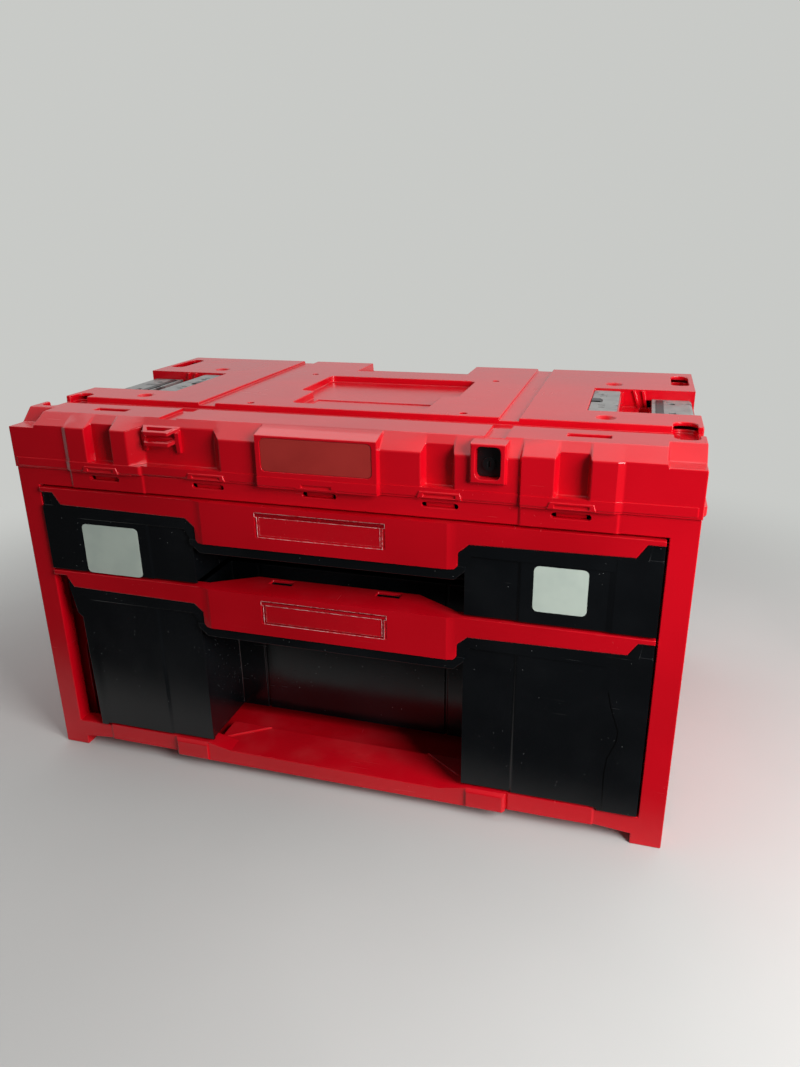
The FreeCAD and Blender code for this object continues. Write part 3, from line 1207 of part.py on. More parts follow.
def top_cover():
    hollow = cut(fuse([lid_outer(), lid_lip()]), [lid_cavity()])
    added = []
    removed = []
    for side in (-1, 1):
        for y in (-DISH_Y, DISH_Y):
            cup, bowl = dish(side * DISH_X, y, DISH_R, DISH_FLOOR_R, DISH_DEPTH)
            added.append(cup)
            removed.append(bowl)
        for place in (FRONT_SOCKET, REAR_SOCKET):
            walls, pit = socket(side, place, SOCKET_DEPTH)
            added.append(walls)
            removed.append(pit)
        x, y, radius = SOCKET_WELL
        floor = DECK_Z - SOCKET_DEPTH - SOCKET_WELL_DEPTH
        reach = radius + THIN_WALL / 2
        added.append(box(side * x - reach, side * x + reach, y - reach, y + reach,
                         floor - THIN_WALL, DECK_Z - SOCKET_DEPTH))
        removed.append(round_pit(side * x, y, floor, DECK_Z, radius, radius, ROUND_SIDES))
        for y in DIMPLE_Y:
            removed.append(round_pit(side * DIMPLE_X, y, DECK_Z - DIMPLE_DEPTH, DECK_Z + OVERRUN,
                                     DIMPLE_R, DIMPLE_R, SMALL_ROUND_SIDES))
        ends = sorted((side * CHANNEL[0], side * CHANNEL[1]))
        removed.append(box(ends[0], ends[1], DECK_FRONT - OVERRUN, DECK_BACK + SIDE_STEP,
                           DECK_Z - CHANNEL_DEPTH, DECK_Z + OVERRUN))
        removed.append(box(ends[0], ends[1], LEDGE_FRONT - OVERRUN, GROOVE_FRONT + OVERRUN,
                           LEDGE_Z - CHANNEL_DEPTH, LEDGE_Z + OVERRUN))
        ends = sorted((side * LEDGE_SLOT[0], side * LEDGE_SLOT[1]))
        y0 = LEDGE_SLOT_Y
        y1 = LEDGE_SLOT_Y + LEDGE_SLOT_WIDTH
        floor = LEDGE_Z - LEDGE_SLOT_DEPTH
        removed.append(box(ends[0], ends[1], y0, y1, floor, LEDGE_Z + OVERRUN))
    outline = deck_recess_outline()
    recess_floor = DECK_Z - DECK_RECESS_DEPTH
    margin = RECESS_WIDE_HALF + WALL
    added.append(box(-margin, margin, RECESS_Y[0] - WALL, RECESS_Y[2] + WALL,
                     recess_floor - THIN_WALL, DECK_Z - OVERRUN))
    removed.append(rounded_plate_z(outline, recess_floor, DECK_Z + OVERRUN, DECK_RECESS_CORNER))
    y0, y1 = PANEL_LINE_Y
    removed.append(box(-PANEL_LINE_HALF, PANEL_LINE_HALF, y0, y1,
                       recess_floor - PANEL_LINE_DEPTH, DECK_Z))
    added.append(box(-NOTCH_HALF - WALL, NOTCH_HALF + WALL, NOTCH_Y - WALL, DECK_BACK,
                     REAR_LEDGE_Z - LID_SHELL, DECK_Z - OVERRUN))
    removed.append(box(-NOTCH_HALF, NOTCH_HALF, NOTCH_Y, DECK_BACK + SIDE_STEP + OVERRUN,
                       REAR_LEDGE_Z, DECK_Z + OVERRUN))
    pocket_added, pocket_removed = side_pocket_tools()
    for side_added, side_removed in ((pocket_added, pocket_removed),
                                     ([mirrored(s) for s in pocket_added],
                                      [mirrored(s) for s in pocket_removed])):
        added = added + side_added
        removed = removed + side_removed
    added.append(window_block())
    snap_added, snap_removed = snap_parts()
    removed = removed + snap_removed
    removed.append(window_opening(WINDOW_BLOCK_Y - OVERRUN, WINDOW_BLOCK_Y + WINDOW_DEPTH, 0))
    removed.append(plate_pocket(PLATE_BAND_Y - OVERRUN, PLATE_BAND_Y + PLATE_POCKET, 0))
    return cut(fuse([hollow] + added + snap_added), removed)


def name_plate():
    back = PLATE_BAND_Y + PLATE_POCKET
    return plate_pocket(back - PLATE_THICKNESS, back, SEAT_GAP)


def lock_insert():
    back = WINDOW_BLOCK_Y + WINDOW_DEPTH
    body = window_opening(back - LOCK_THICKNESS, back, SEAT_GAP)
    x = (WINDOW_BLOCK[0] + WINDOW_BLOCK[1]) / 2
    z = LID_BASE + LIP_HEIGHT + WINDOW_SILL + LOCK_BOSS_R * 2
    boss = rod_y(x, z, back - LOCK_THICKNESS - LOCK_BOSS_H, back, LOCK_BOSS_R)
    wide, tall = LOCK_KEYHOLE
    keyhole = box(x - wide / 2, x + wide / 2, back - LOCK_THICKNESS - LOCK_BOSS_H - OVERRUN,
                  back - LOCK_THICKNESS, z - tall / 2, z + tall / 2)
    return cut(fuse([body, boss]), [keyhole])


def padlock_eye():
    # a tapered eye over a lower bar, both standing out of the recess on two legs
    wall_y = MIDDLE_BAND_Y + RECESS_DEPTH
    tip_y = wall_y - EYE_REACH
    plan = [(EYE_X[0], wall_y), (EYE_TIP_X[0], tip_y), (EYE_TIP_X[1], tip_y), (EYE_X[1], wall_y)]
    hole = [(EYE_X[0] + EYE_BAR * 2, wall_y - EYE_BAR), (EYE_TIP_X[0] + EYE_BAR, tip_y + EYE_BAR),
            (EYE_TIP_X[1] - EYE_BAR, tip_y + EYE_BAR), (EYE_X[1] - EYE_BAR * 2, wall_y - EYE_BAR)]

    def sloping(outline, rise, thickness):
        def lower(y):
            return rise - EYE_DROP * (wall_y - y) / EYE_REACH
        bottom = [Vector(x, y, lower(y)) for x, y in outline]
        top = [Vector(x, y, lower(y) + thickness) for x, y in outline]
        wires = [Part.makePolygon(ring + [ring[0]]) for ring in (bottom, top)]
        return Part.makeLoft(wires, True, True)

    upper = sloping(plan, EYE_Z, EYE_THICKNESS)
    slot = sloping(hole, EYE_Z - EYE_THICKNESS, EYE_THICKNESS * 3)
    lower = sloping(plan, EYE_Z - EYE_LOWER_DROP, EYE_THICKNESS)
    gap = sloping(hole, EYE_Z - EYE_LOWER_DROP - EYE_THICKNESS, EYE_THICKNESS * 3)
    legs = []
    for x in (EYE_X[0], EYE_X[1] - EYE_LEG):
        outline = [(wall_y, EYE_Z), (wall_y - EYE_REACH / 2, EYE_Z - EYE_DROP / 2),
                   (wall_y - EYE_REACH / 2, EYE_Z - EYE_LOWER_DROP),
                   (wall_y - EYE_REACH / 3, EYE_Z - EYE_LEG_DROP), (wall_y, EYE_Z - EYE_LEG_DROP)]
        legs.append(prism_x(outline, x, x + EYE_LEG))
    return fuse([cut(upper, [slot]), cut(lower, [gap])] + legs)


# What the side recesses hold, made for +X and mirrored
def catch_plate():
    y0, y1 = POCKET_Y
    y0 = y0 + CATCH_END_GAP
    y1 = y1 - CATCH_END_GAP
    x0 = POCKET_INNER + SEAT_GAP
    outline = [(x0, y0), (x0 + CATCH_WIDTH, y0), (x0 + CATCH_WIDTH, y1), (x0, y1)]
    plate = rounded_plate_z(outline, SHELF_Z, SHELF_Z + CATCH_THICKNESS, CATCH_CORNER)
    middle = (y0 + y1) / 2
    reach, width = CATCH_NOTCH
    cuts = [box(x0 - OVERRUN, x0 + reach, middle - width / 2, middle + width / 2,
                SHELF_Z - OVERRUN, SHELF_Z + CATCH_THICKNESS + OVERRUN)]
    length, slim = CATCH_SLOT
    for dy in CATCH_SLOT_DY:
        for way in (-1, 1):
            centre = middle + way * dy
            cuts.append(box(x0 + reach - length / 2, x0 + reach + length / 2, centre - slim / 2,
                            centre + slim / 2, SHELF_Z - OVERRUN, SHELF_Z + CATCH_THICKNESS + OVERRUN))
    return cut(plate, cuts)


def catch_clip():
    middle = sum(POCKET_Y) / 2
    reach, width = CATCH_NOTCH
    x0 = POCKET_INNER + SEAT_GAP
    half = width / 2 - RUN_GAP
    high = SHELF_Z + CATCH_THICKNESS + CLIP_RISE
    outline = [(x0, SHELF_Z), (x0 + reach - RUN_GAP, SHELF_Z), (x0 + reach - RUN_GAP, high - CLIP_RISE),
               (x0 + reach - CLIP_RISE * 2, high), (x0, high)]
    return prism_y(outline, middle - half, middle + half)


def latch_span():
    y0, y1 = POCKET_Y
    return y0 + LATCH_END_GAP, y1 - LATCH_END_GAP


def latch_pad_box(gap):
    y0, y1 = latch_span()
    top = LATCH_AXIS_Z + LATCH_BARREL_R
    high = top + (LATCH_PAD_RISE if gap else OVERRUN)
    return box(LATCH_PAD_X[0] + gap, LATCH_PAD_X[1] - gap, y0 + LATCH_PAD_END + gap,
               y1 - LATCH_PAD_END - gap, top - LATCH_PAD_DEPTH, high)


def stack_latch():
    y0, y1 = latch_span()
    top = LATCH_AXIS_Z + LATCH_BARREL_R
    plate = box(LATCH_INNER, LATCH_AXIS_X, y0, y1, top - LATCH_THICKNESS, top)
    barrel = rod_y(LATCH_AXIS_X, LATCH_AXIS_Z, y0, y1, LATCH_BARREL_R)
    hook = box(LATCH_INNER, LATCH_INNER + LATCH_HOOK_WIDTH, y0 + LATCH_PAD_END, y1 - LATCH_PAD_END,
               top - LATCH_THICKNESS - LATCH_HOOK, top - LATCH_THICKNESS + OVERRUN)
    cuts = [rod_y(LATCH_AXIS_X, LATCH_AXIS_Z, y0 - OVERRUN, y1 + OVERRUN, LATCH_PIN_R + PIN_GAP),
            latch_pad_box(0)]
    for centre in LATCH_HOLE_Y:
        cuts.append(box(LATCH_HOLE_X - LATCH_HOLE / 2, LATCH_HOLE_X + LATCH_HOLE / 2,
                        centre - LATCH_HOLE / 2, centre + LATCH_HOLE / 2,
                        top - LATCH_THICKNESS - OVERRUN, top + OVERRUN))
    return cut(fuse([plate, barrel, hook]), cuts)


def latch_pin():
    y0, y1 = POCKET_Y
    return rod_y(LATCH_AXIS_X, LATCH_AXIS_Z, y0 - PIN_REACH, y1 + PIN_REACH, LATCH_PIN_R)


def build():
    os.makedirs("parts", exist_ok=True)
    write("cabinet_shell", cabinet_shell())
    write("top_cover", top_cover())
    write("name_plate", name_plate())
    write("lock_insert", lock_insert())
    write("padlock_eye", padlock_eye())
    for name, maker in (("catch_plate", catch_plate), ("catch_clip", catch_clip),
                        ("stack_latch", stack_latch), ("latch_pin", latch_pin),
                        ("latch_pad", lambda: latch_pad_box(PIN_GAP))):
        shape = maker()
        write(name + "_right", shape)
        write(name + "_left", mirrored(shape))
    cabinet_screws = []
    for name, top, bottom in DRAWERS:
        height = slide_height(top)
        write("drawer_tray_" + name, drawer_tray(name, top, bottom))
        write("drawer_trim_" + name, drawer_trim(top))
        write("label_holder_" + name, label_holder(top))
        write(name + "_trim_screws", trim_screws(top))
        drawer_screws = []
        for side, hand in ((-1, "left"), (1, "right")):
            for member in ("outer", "middle", "inner"):
                write("slide_" + name + "_" + hand + "_" + member, slide_member(side, height, member))
            for y in slide_screw_places():
                cabinet_screws.append(slide_screw(side, y, height, False))
                drawer_screws.append(slide_screw(side, y, height, True))
        write(name + "_slide_screws", Part.makeCompound(drawer_screws))
    write("cabinet_slide_screws", Part.makeCompound(cabinet_screws))
    write("front_label_left", sticker(STICKER_LEFT, UPPER_TOP, STICKER_LEFT_BELOW, STICKER_LEFT_HEIGHT))
    write("front_label_right", sticker(STICKER_RIGHT, UPPER_TOP, STICKER_RIGHT_BELOW, STICKER_RIGHT_HEIGHT))


build()
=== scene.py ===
# %% [markdown]
# # A portable tool box with two drawers
# The box is a moulded red cabinet with a stacking lid and two black drawers with
# red pull handles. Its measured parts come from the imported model, which fixes every
# size. This lesson gives each part the rounded edges, plastics, metal and small
# fittings of the real thing, and lights it in a plain studio.

# %% Load the measured parts
import json
import math

import bmesh
import bpy
from mathutils import Matrix, Vector
from mathutils.bvhtree import BVHTree
from mathutils.geometry import delaunay_2d_cdt


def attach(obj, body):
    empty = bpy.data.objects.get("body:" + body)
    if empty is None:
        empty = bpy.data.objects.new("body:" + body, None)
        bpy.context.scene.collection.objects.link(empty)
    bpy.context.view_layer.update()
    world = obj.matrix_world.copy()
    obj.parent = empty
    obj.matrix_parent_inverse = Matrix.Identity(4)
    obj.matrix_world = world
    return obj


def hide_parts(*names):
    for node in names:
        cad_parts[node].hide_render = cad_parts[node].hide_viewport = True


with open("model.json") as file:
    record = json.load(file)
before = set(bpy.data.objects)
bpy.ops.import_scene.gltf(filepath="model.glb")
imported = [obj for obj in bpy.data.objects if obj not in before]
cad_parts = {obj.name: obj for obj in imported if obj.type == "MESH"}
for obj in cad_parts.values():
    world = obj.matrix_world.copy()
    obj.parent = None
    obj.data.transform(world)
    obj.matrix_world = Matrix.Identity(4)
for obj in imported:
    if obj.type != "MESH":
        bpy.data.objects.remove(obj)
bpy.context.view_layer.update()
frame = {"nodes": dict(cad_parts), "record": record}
MM = 0.001
nodes = frame["nodes"]
body_of = {}
for body, members in frame["record"]["behaviour"]["bodies"].items():
    for member in members:
        body_of[member] = body

# %% [markdown]
# ## The camera
# The camera stands a little to the right of the box and looks down on it, so the
# front, the stepped lid and its deck all show. Its three axes are written out, and
# the lens belongs to a sensor of 36 mm along the tall side of the picture.

# %% Place the camera
CAMERA_PLACE = (0.234627, -0.736742, 0.47643)
CAMERA_RIGHT = (0.959433, 0.281672, -0.012219)
CAMERA_UP = (-0.088353, 0.341543, 0.935704)
CAMERA_BACK = (0.267735, -0.896666, 0.352574)
LENS, SENSOR, NEAREST_SEEN = 27.225, 36.0, 0.02


def new_object(name, data):
    """An object at the origin of the scene."""
    made = bpy.data.objects.new(name, data)
    bpy.context.scene.collection.objects.link(made)
    return made


camera_data = bpy.data.cameras.new("studio_camera")
camera_data.lens = LENS
camera_data.sensor_width = SENSOR
camera_data.clip_start = NEAREST_SEEN
camera = new_object("studio_camera", camera_data)
turn = Matrix((CAMERA_RIGHT, CAMERA_UP, CAMERA_BACK)).transposed().to_4x4()
camera.matrix_world = Matrix.Translation(CAMERA_PLACE) @ turn
bpy.context.scene.camera = camera
bpy.context.scene.view_settings.view_transform = "Standard"
print("camera at", [round(v, 3) for v in camera.location])

# %% [markdown]
# ## A small language for nodes
# Materials, the world and the tree of the screws are all graphs of nodes. Written by
# hand they are long, so one class wraps the output of a node and lets Python's own
# + - * / build the Math nodes. A second class makes any other node in one call: its
# type, its settings, then its inputs. A third adds what the finishes have in common.


# %% Sockets that can be added and multiplied
class Wire:
    """The output of a node in a graph."""

    def __init__(self, graph, socket):
        self.graph = graph
        self.socket = socket

    def maths(self, operation, *others):
        return self.graph.node("ShaderNodeMath", {"operation": operation}, [self, *others])

    def __add__(self, other):
        return self.maths("ADD", other)

    __radd__ = __add__

    def __sub__(self, other):
        return self.maths("SUBTRACT", other)

    def __rsub__(self, other):
        return self.graph.node("ShaderNodeMath", {"operation": "SUBTRACT"}, [other, self])

    def __mul__(self, other):
        return self.maths("MULTIPLY", other)

    __rmul__ = __mul__

    def __truediv__(self, other):
        return self.maths("DIVIDE", other)

    def __pow__(self, other):
        return self.maths("POWER", other)

    def at_least(self, other):
        return self.maths("MAXIMUM", other)

    def at_most(self, other):
        return self.maths("MINIMUM", other)

    def size(self):
        return self.maths("ABSOLUTE")

    def between(self, low, high, least=0.0, most=1.0):
        """A smooth change from least at low to most at high; high may be the lower one."""
        return self.graph.node("ShaderNodeMapRange", {"interpolation_type": "SMOOTHSTEP"},
                               {"Value": self, "From Min": low, "From Max": high,
                                "To Min": least, "To Max": most})

    def part(self, index):
        """The x, y or z of a vector."""
        return self.graph.node("ShaderNodeSeparateXYZ", None, [self], out=index)


print("wires take + - * / and **")


# %% Nodes in one call
class Graph:
    """A tree of nodes: a material's, the world's or a Geometry Nodes tree."""

    def __init__(self, tree):
        self.tree = tree

    def node(self, kind, settings=None, inputs=None, out=0):
        """A new node's output. Inputs are a list, or a table by name or number."""
        made = self.tree.nodes.new(kind)
        for key, value in (settings or {}).items():
            setattr(made, key, value)
        if isinstance(inputs, list):
            inputs = dict(enumerate(inputs))
        for key, value in (inputs or {}).items():
            self.join(made.inputs[key], value)
        return Wire(self, made.outputs[out])

    def join(self, socket, value):
        """Gives an input a wire, a list of wires, a colour or any other plain value."""
        if isinstance(value, Wire):
            self.tree.links.new(value.socket, socket)
        elif isinstance(value, list):
            for wire in value:
                self.tree.links.new(wire.socket, socket)
        elif socket.type == "RGBA":
            socket.default_value = (*value, 1.0)
        else:
            socket.default_value = value


print("one call makes a node of any kind")

# %% What the finishes share
BUMP_DEPTH = 0.4 * MM


class Finish(Graph):
    """A new material, with its shader and the coordinates of the piece it is on."""

    def __init__(self, name):
        self.material = bpy.data.materials.new(name)
        self.material.use_nodes = True
        super().__init__(self.material.node_tree)
        self.shader = self.tree.nodes["Principled BSDF"]
        self.place = self.node("ShaderNodeTexCoord", out="Object")

    def mix(self, share, first, second):
        return self.node("ShaderNodeMix", {"data_type": "RGBA"},
                         {0: share, 6: first, 7: second}, out=2)

    def noise(self, scale, detail=2.0, roughness=0.5, vector=None):
        return self.node("ShaderNodeTexNoise", {"noise_dimensions": "3D"},
                         {"Vector": vector or self.place, "Scale": scale, "Detail": detail,
                          "Roughness": roughness})

    def streaks(self, scale, rotation=(0, 0, 0), detail=2.0):
        """Noise drawn out along one direction, as scuffs and brushed lines are."""
        drawn = self.node("ShaderNodeMapping", None,
                          {"Vector": self.place, "Scale": scale, "Rotation": rotation})
        return self.noise(1.0, detail, 0.6, drawn)

    def cells(self, scale):
        """The distance to the nearest of many scattered points."""
        return self.node("ShaderNodeTexVoronoi", {"feature": "F1"},
                         {"Vector": self.place, "Scale": scale}, out="Distance")

    def facing(self, index):
        """How far the surface faces along x, y or z, from -1 to 1."""
        return self.node("ShaderNodeNewGeometry", out="Normal").part(index)

    def bump(self, height, strength):
        return self.node("ShaderNodeBump", None,
                         {"Height": height, "Strength": strength, "Distance": BUMP_DEPTH})

    def set(self, **values):
        for name, value in values.items():
            self.join(self.shader.inputs[name.replace("_", " ")], value)
        return self.material


print("material language ready")

# %% [markdown]
# ## Glossy red plastic
# The cabinet, the lid and the drawers' handles are injection-moulded in one red.
# Up close such plastic is not even: the colour clouds a little where it flowed, the
# gloss is broken by a very fine grain and by hair-thin scuffs, and dust lies on what
# faces up. All of it is worked out from the place on the piece, so nothing slides
# when the piece moves. A noise of scale 7 has clouds about a seventh of a metre
# wide, and between(low, high) keeps the part of it that is wanted.

# %% Red plastic
RED_GLOSS, RED_GRAIN = 0.17, 0.026
DUST_ON_RED, SCUFFED_RED = (0.60, 0.34, 0.33), (0.55, 0.34, 0.32)


def red_plastic(name, colour, deep, dust, scuff):
    """Colour clouds, a fine grain, scuffs, specks and a film of dust on top."""
    f = Finish(name)
    cloud = f.noise(7.0, 3.0).between(0.3, 0.7)
    scuffs_across = f.streaks((14, 520, 300), (0.3, 0.2, 0.5)).between(0.68, 0.74)
    scuffs_along = f.streaks((420, 18, 380), (0.1, 0.4, -0.35)).between(0.69, 0.75)
    handled = f.noise(16.0, 2.0).between(0.5, 0.68)
    scuffs = (scuffs_across + scuffs_along).at_most(1.0) * handled
    specks = f.cells(330.0).between(0.09, 0.04) * f.noise(60.0, 1.0).between(0.52, 0.62)
    film = f.facing(2).between(0.4, 0.95) * f.noise(26.0, 4.0).between(0.40, 0.80) * dust
    base = f.mix(cloud, deep, colour)
    base = f.mix(film, base, DUST_ON_RED)
    base = f.mix((scuffs * scuff + specks * scuff).at_most(1.0), base, SCUFFED_RED)
    grain = f.noise(1500.0, 2.0, 0.7)
    rough = RED_GLOSS + grain * 0.05 + scuffs * 0.12 + film * 0.8 + cloud * 0.03
    relief = grain + scuffs * -1.5 + f.noise(60.0, 2.0) * 1.2
    return f.set(Base_Color=base, Roughness=rough, Specular_IOR_Level=0.5, IOR=1.49,
                 Normal=f.bump(relief, RED_GRAIN))


RED_SHELL = red_plastic("glossy_red_plastic", (0.66, 0.0016, 0.0105),
                        (0.56, 0.0010, 0.0080), dust=0.04, scuff=0.03)
RED_TRIM = red_plastic("glossy_red_handle", (0.60, 0.0014, 0.0095),
                       (0.50, 0.0009, 0.0070), dust=0.03, scuff=0.04)
print("red plastics:", RED_SHELL.name, RED_TRIM.name)

# %% [markdown]
# ## Black drawers
# The drawers are a near-black polypropylene with a hard shine. It shows every
# speck: tiny light dots of dust, faint rubbed lines and, here and there, a dull
# bloom. Dark plastic gets nearly all its look from reflections, so its roughness
# carries more of the detail than its colour.
#
# The right front of the lower drawer has a hairline crack. It is far too thin to be
# worth cutting into the mesh, so it is a line of points in the material: the
# distance to the nearest stretch of that line tells where the plastic goes dark.

# %% The crack in the lower drawer
CRACKED_FACE = -0.172
CRACK = [(233.0, 140.0), (236.0, 127.0), (242.8, 106.0), (242.2, 97.0), (236.2, 80.0),
         (235.0, 65.0), (235.7, 27.0)]
CRACK_FADES = (0.7 * MM, 0.3 * MM)


def distance_to_crack(place):
    """How far a place is from the crack, which is drawn in x and z on the drawer's face."""
    x, z = place.part(0), place.part(2)
    nearest = None
    for (x1, z1), (x2, z2) in zip(CRACK, CRACK[1:]):
        run, rise = (x2 - x1) * MM, (z2 - z1) * MM
        across, up = x - x1 * MM, z - z1 * MM
        share = (across * run + up * rise) / (run * run + rise * rise)
        share = share.at_least(0.0).at_most(1.0)
        away = ((across - share * run) ** 2 + (up - share * rise) ** 2) ** 0.5
        nearest = away if nearest is None else nearest.at_most(away)
    return nearest + (place.part(1) - CRACKED_FACE).at_least(0.0)


print("the crack runs through", len(CRACK), "points")

# %% Black plastic
BLACK_DEEP, BLACK_PALE = (0.0016, 0.0021, 0.0028), (0.0030, 0.0038, 0.0048)
BLOOM_ON_BLACK, DUST_ON_BLACK = (0.10, 0.11, 0.12), (0.36, 0.37, 0.36)
INSIDE_CRACK, CRACK_GLOSS = (0.0001, 0.0001, 0.0001), 0.02
BLACK_GRAIN = 0.03


def black_plastic(name, gloss, specks, bloom, cracked=False):
    """A near-black with dots of dust, rubbed lines and a bloom."""
    f = Finish(name)
    cloud = f.noise(9.0, 3.0).between(0.3, 0.7)
    dots = f.cells(210.0).between(0.075, 0.035) * f.noise(38.0, 1.0).between(0.50, 0.58)
    dots = dots * specks
    rubs = f.streaks((26, 300, 420), (0.2, 0.5, 0.1)).between(0.66, 0.74)
    rubs = rubs * f.noise(14.0, 2.0).between(0.5, 0.65)
    haze = f.noise(11.0, 4.0, 0.6).between(0.42, 0.72) * bloom
    base = f.mix(cloud, BLACK_DEEP, BLACK_PALE)
    base = f.mix(haze * 0.03, base, BLOOM_ON_BLACK)
    base = f.mix((dots + rubs * 0.04).at_most(1.0), base, DUST_ON_BLACK)
    grain = f.noise(1300.0, 2.0, 0.7)
    rough = gloss + haze * 0.08 + rubs * 0.12 + dots * 0.3 + grain * 0.04
    relief = grain + f.noise(34.0, 2.0) * 2.2
    if cracked:
        line = distance_to_crack(f.place).between(*CRACK_FADES)
        base = f.mix(line, base, INSIDE_CRACK)
        rough = rough * (1 - line) + line * CRACK_GLOSS
    return f.set(Base_Color=base, Roughness=rough, Specular_IOR_Level=0.5, IOR=1.5,
                 Normal=f.bump(relief, BLACK_GRAIN))


BLACK_TRAY = black_plastic("glossy_black_tray", 0.15, 0.7, 0.8)
BLACK_CRACKED = black_plastic("glossy_black_cracked_tray", 0.15, 0.7, 0.8, cracked=True)
BLACK_SMALL = black_plastic("black_fitting", 0.36, 0.2, 0.6)
print("black plastics:", BLACK_TRAY.name, BLACK_CRACKED.name, BLACK_SMALL.name)

# %% [markdown]
# ## Grey catches, bare plate, paper, clear windows and zinc
# The catches in the lid's side recesses are a matt grey plastic that has picked up
# dark smudges. The plate in the raised frame is the red of the lid, but duller. The
# paper labels are left bare. The clear windows on the handles are thin: their flat
# front hardly shows, and their rims, which face sideways, up or down, are chipped and
# carry a painted highlight, a pale pink colour with more opacity in place of the light
# they catch. The slides and screws are zinc-plated steel, streaked along their length.


# %% Grey plastic, dull plate and paper
def grey_catch():
    f = Finish("grey_catch_plastic")
    cloud = f.noise(60.0, 3.0).between(0.3, 0.7)
    smudge = f.noise(95.0, 4.0, 0.6).between(0.52, 0.66) * f.noise(24.0, 1.0).between(0.45, 0.6)
    base = f.mix(cloud, (0.19, 0.19, 0.185), (0.27, 0.27, 0.26))
    base = f.mix(smudge * 0.85, base, (0.025, 0.025, 0.027))
    return f.set(Base_Color=base, Roughness=smudge * 0.15 + 0.42,
                 Normal=f.bump(f.noise(900.0), 0.08))


def dull_plate():
    f = Finish("dull_red_plate")
    cloud = f.noise(30.0, 3.0).between(0.3, 0.7)
    brushed = f.streaks((30, 700, 700), detail=3.0)
    base = f.mix(cloud, (0.36, 0.024, 0.020), (0.43, 0.032, 0.026))
    return f.set(Base_Color=base, Roughness=brushed * 0.12 + 0.34,
                 Normal=f.bump(brushed, 0.05))


def label_paper():
    f = Finish("bare_label_paper")
    fibre = f.noise(420.0, 4.0, 0.7)
    stain = f.noise(45.0, 2.0).between(0.4, 0.7)
    base = f.mix(stain, (0.58, 0.66, 0.58), (0.53, 0.61, 0.54))
    return f.set(Base_Color=base, Roughness=fibre * 0.1 + 0.38, Coat_Weight=0.15,
                 Normal=f.bump(fibre, 0.05))


GREY_CATCH = grey_catch()
DULL_PLATE = dull_plate()
PAPER = label_paper()
print("matt finishes:", GREY_CATCH.name, DULL_PLATE.name, PAPER.name)


# %% Clear plastic and zinc-plated steel
def clear_window():
    f = Finish("clear_label_window")
    # Faces that look sideways, up or down get a painted highlight: a pale pink colour and more
    # opacity, broken up by chips.
    painted_rim_glint = f.facing(1).size().between(0.92, 0.55)
    haze = f.noise(120.0, 3.0).between(0.4, 0.8)
    chips = f.noise(260.0, 2.0).between(0.35, 0.65)
    alpha = painted_rim_glint * (chips * 0.45 + 0.25) + haze * 0.008 + 0.006
    f.material.surface_render_method = "BLENDED"
    base = f.mix(painted_rim_glint, (0.45, 0.10, 0.10), (0.85, 0.62, 0.62))
    return f.set(Base_Color=base, Roughness=haze * 0.06 + 0.05, Alpha=alpha, IOR=1.5)


def zinc_steel():
    f = Finish("zinc_plated_steel")
    streak = f.streaks((600, 12, 600), detail=3.0)
    spots = f.noise(160.0, 3.0).between(0.5, 0.75)
    base = f.mix(streak, (0.42, 0.43, 0.45), (0.58, 0.58, 0.58))
    base = f.mix(spots * 0.35, base, (0.30, 0.29, 0.27))
    return f.set(Base_Color=base, Metallic=1.0, Roughness=streak * 0.18 + spots * 0.12 + 0.22,
                 Normal=f.bump(streak, 0.06))


CLEAR = clear_window()
ZINC = zinc_steel()
print("clear and metal finishes:", CLEAR.name, ZINC.name)

# %% [markdown]
# ## Rounded edges
# No moulded edge is sharp: a radius of a few tenths of a millimetre to one and a half
# runs along each one, and that thin curve is what catches the light. Each measured
# part is copied, its triangles are merged back into whole faces, and every edge gets a
# bevel as wide as the faces beside it leave room for. That room is measured first,
# edge by edge, so a bevel never runs into the next edge.

# %% Room beside each edge
SHARP = math.radians(24.0)
GOES_ON = 0.8
PLACES_ALONG = (0.05, 0.25, 0.5, 0.75, 0.95)
MIDWAY = 0.5
NO_LENGTH = 1e-16
MOST_ROOM = 1.0


def distance_to_edge(point, edge):
    first, last = edge.verts[0].co, edge.verts[1].co
    along = last - first
    share = (point - first).dot(along) / max(along.length_squared, NO_LENGTH)
    return (point - first - along * max(0.0, min(1.0, share))).length


def goes_on(edge, other):
    """True where other carries edge on in nearly the same direction."""
    if not set(edge.verts) & set(other.verts):
        return False
    one = (edge.verts[1].co - edge.verts[0].co).normalized()
    two = (other.verts[1].co - other.verts[0].co).normalized()
    return abs(one.dot(two)) > GOES_ON


def room_beside(edge, sharp):
    """The distance to the nearest other sharp edge, felt for at five places along this one."""
    room = MOST_ROOM
    for share in PLACES_ALONG:
        point = edge.verts[0].co.lerp(edge.verts[1].co, share)
        for face in edge.link_faces:
            for other in face.edges:
                if other == edge or other not in sharp or goes_on(edge, other):
                    continue
                # An edge that meets this one is near its end anyway: it counts midway only.
                if share == MIDWAY or not set(edge.verts) & set(other.verts):
                    room = min(room, distance_to_edge(point, other))
    return room


print("edges of more than", round(math.degrees(SHARP)), "degrees are rounded")

# %% [markdown]
# The Bevel modifier is at its weakest where many edges meet on one large flat face:
# there it can fold a corner of that face over itself. A flat face is the easiest of
# shapes to fill again, though. Only its outline is kept, and a Delaunay
# triangulation fills it, so what is left of a fold is gone.

# %% Find the flat places
IN_PLANE = math.cos(math.radians(0.7))
OFF_PLANE = 0.00005
NO_AREA = 1e-12


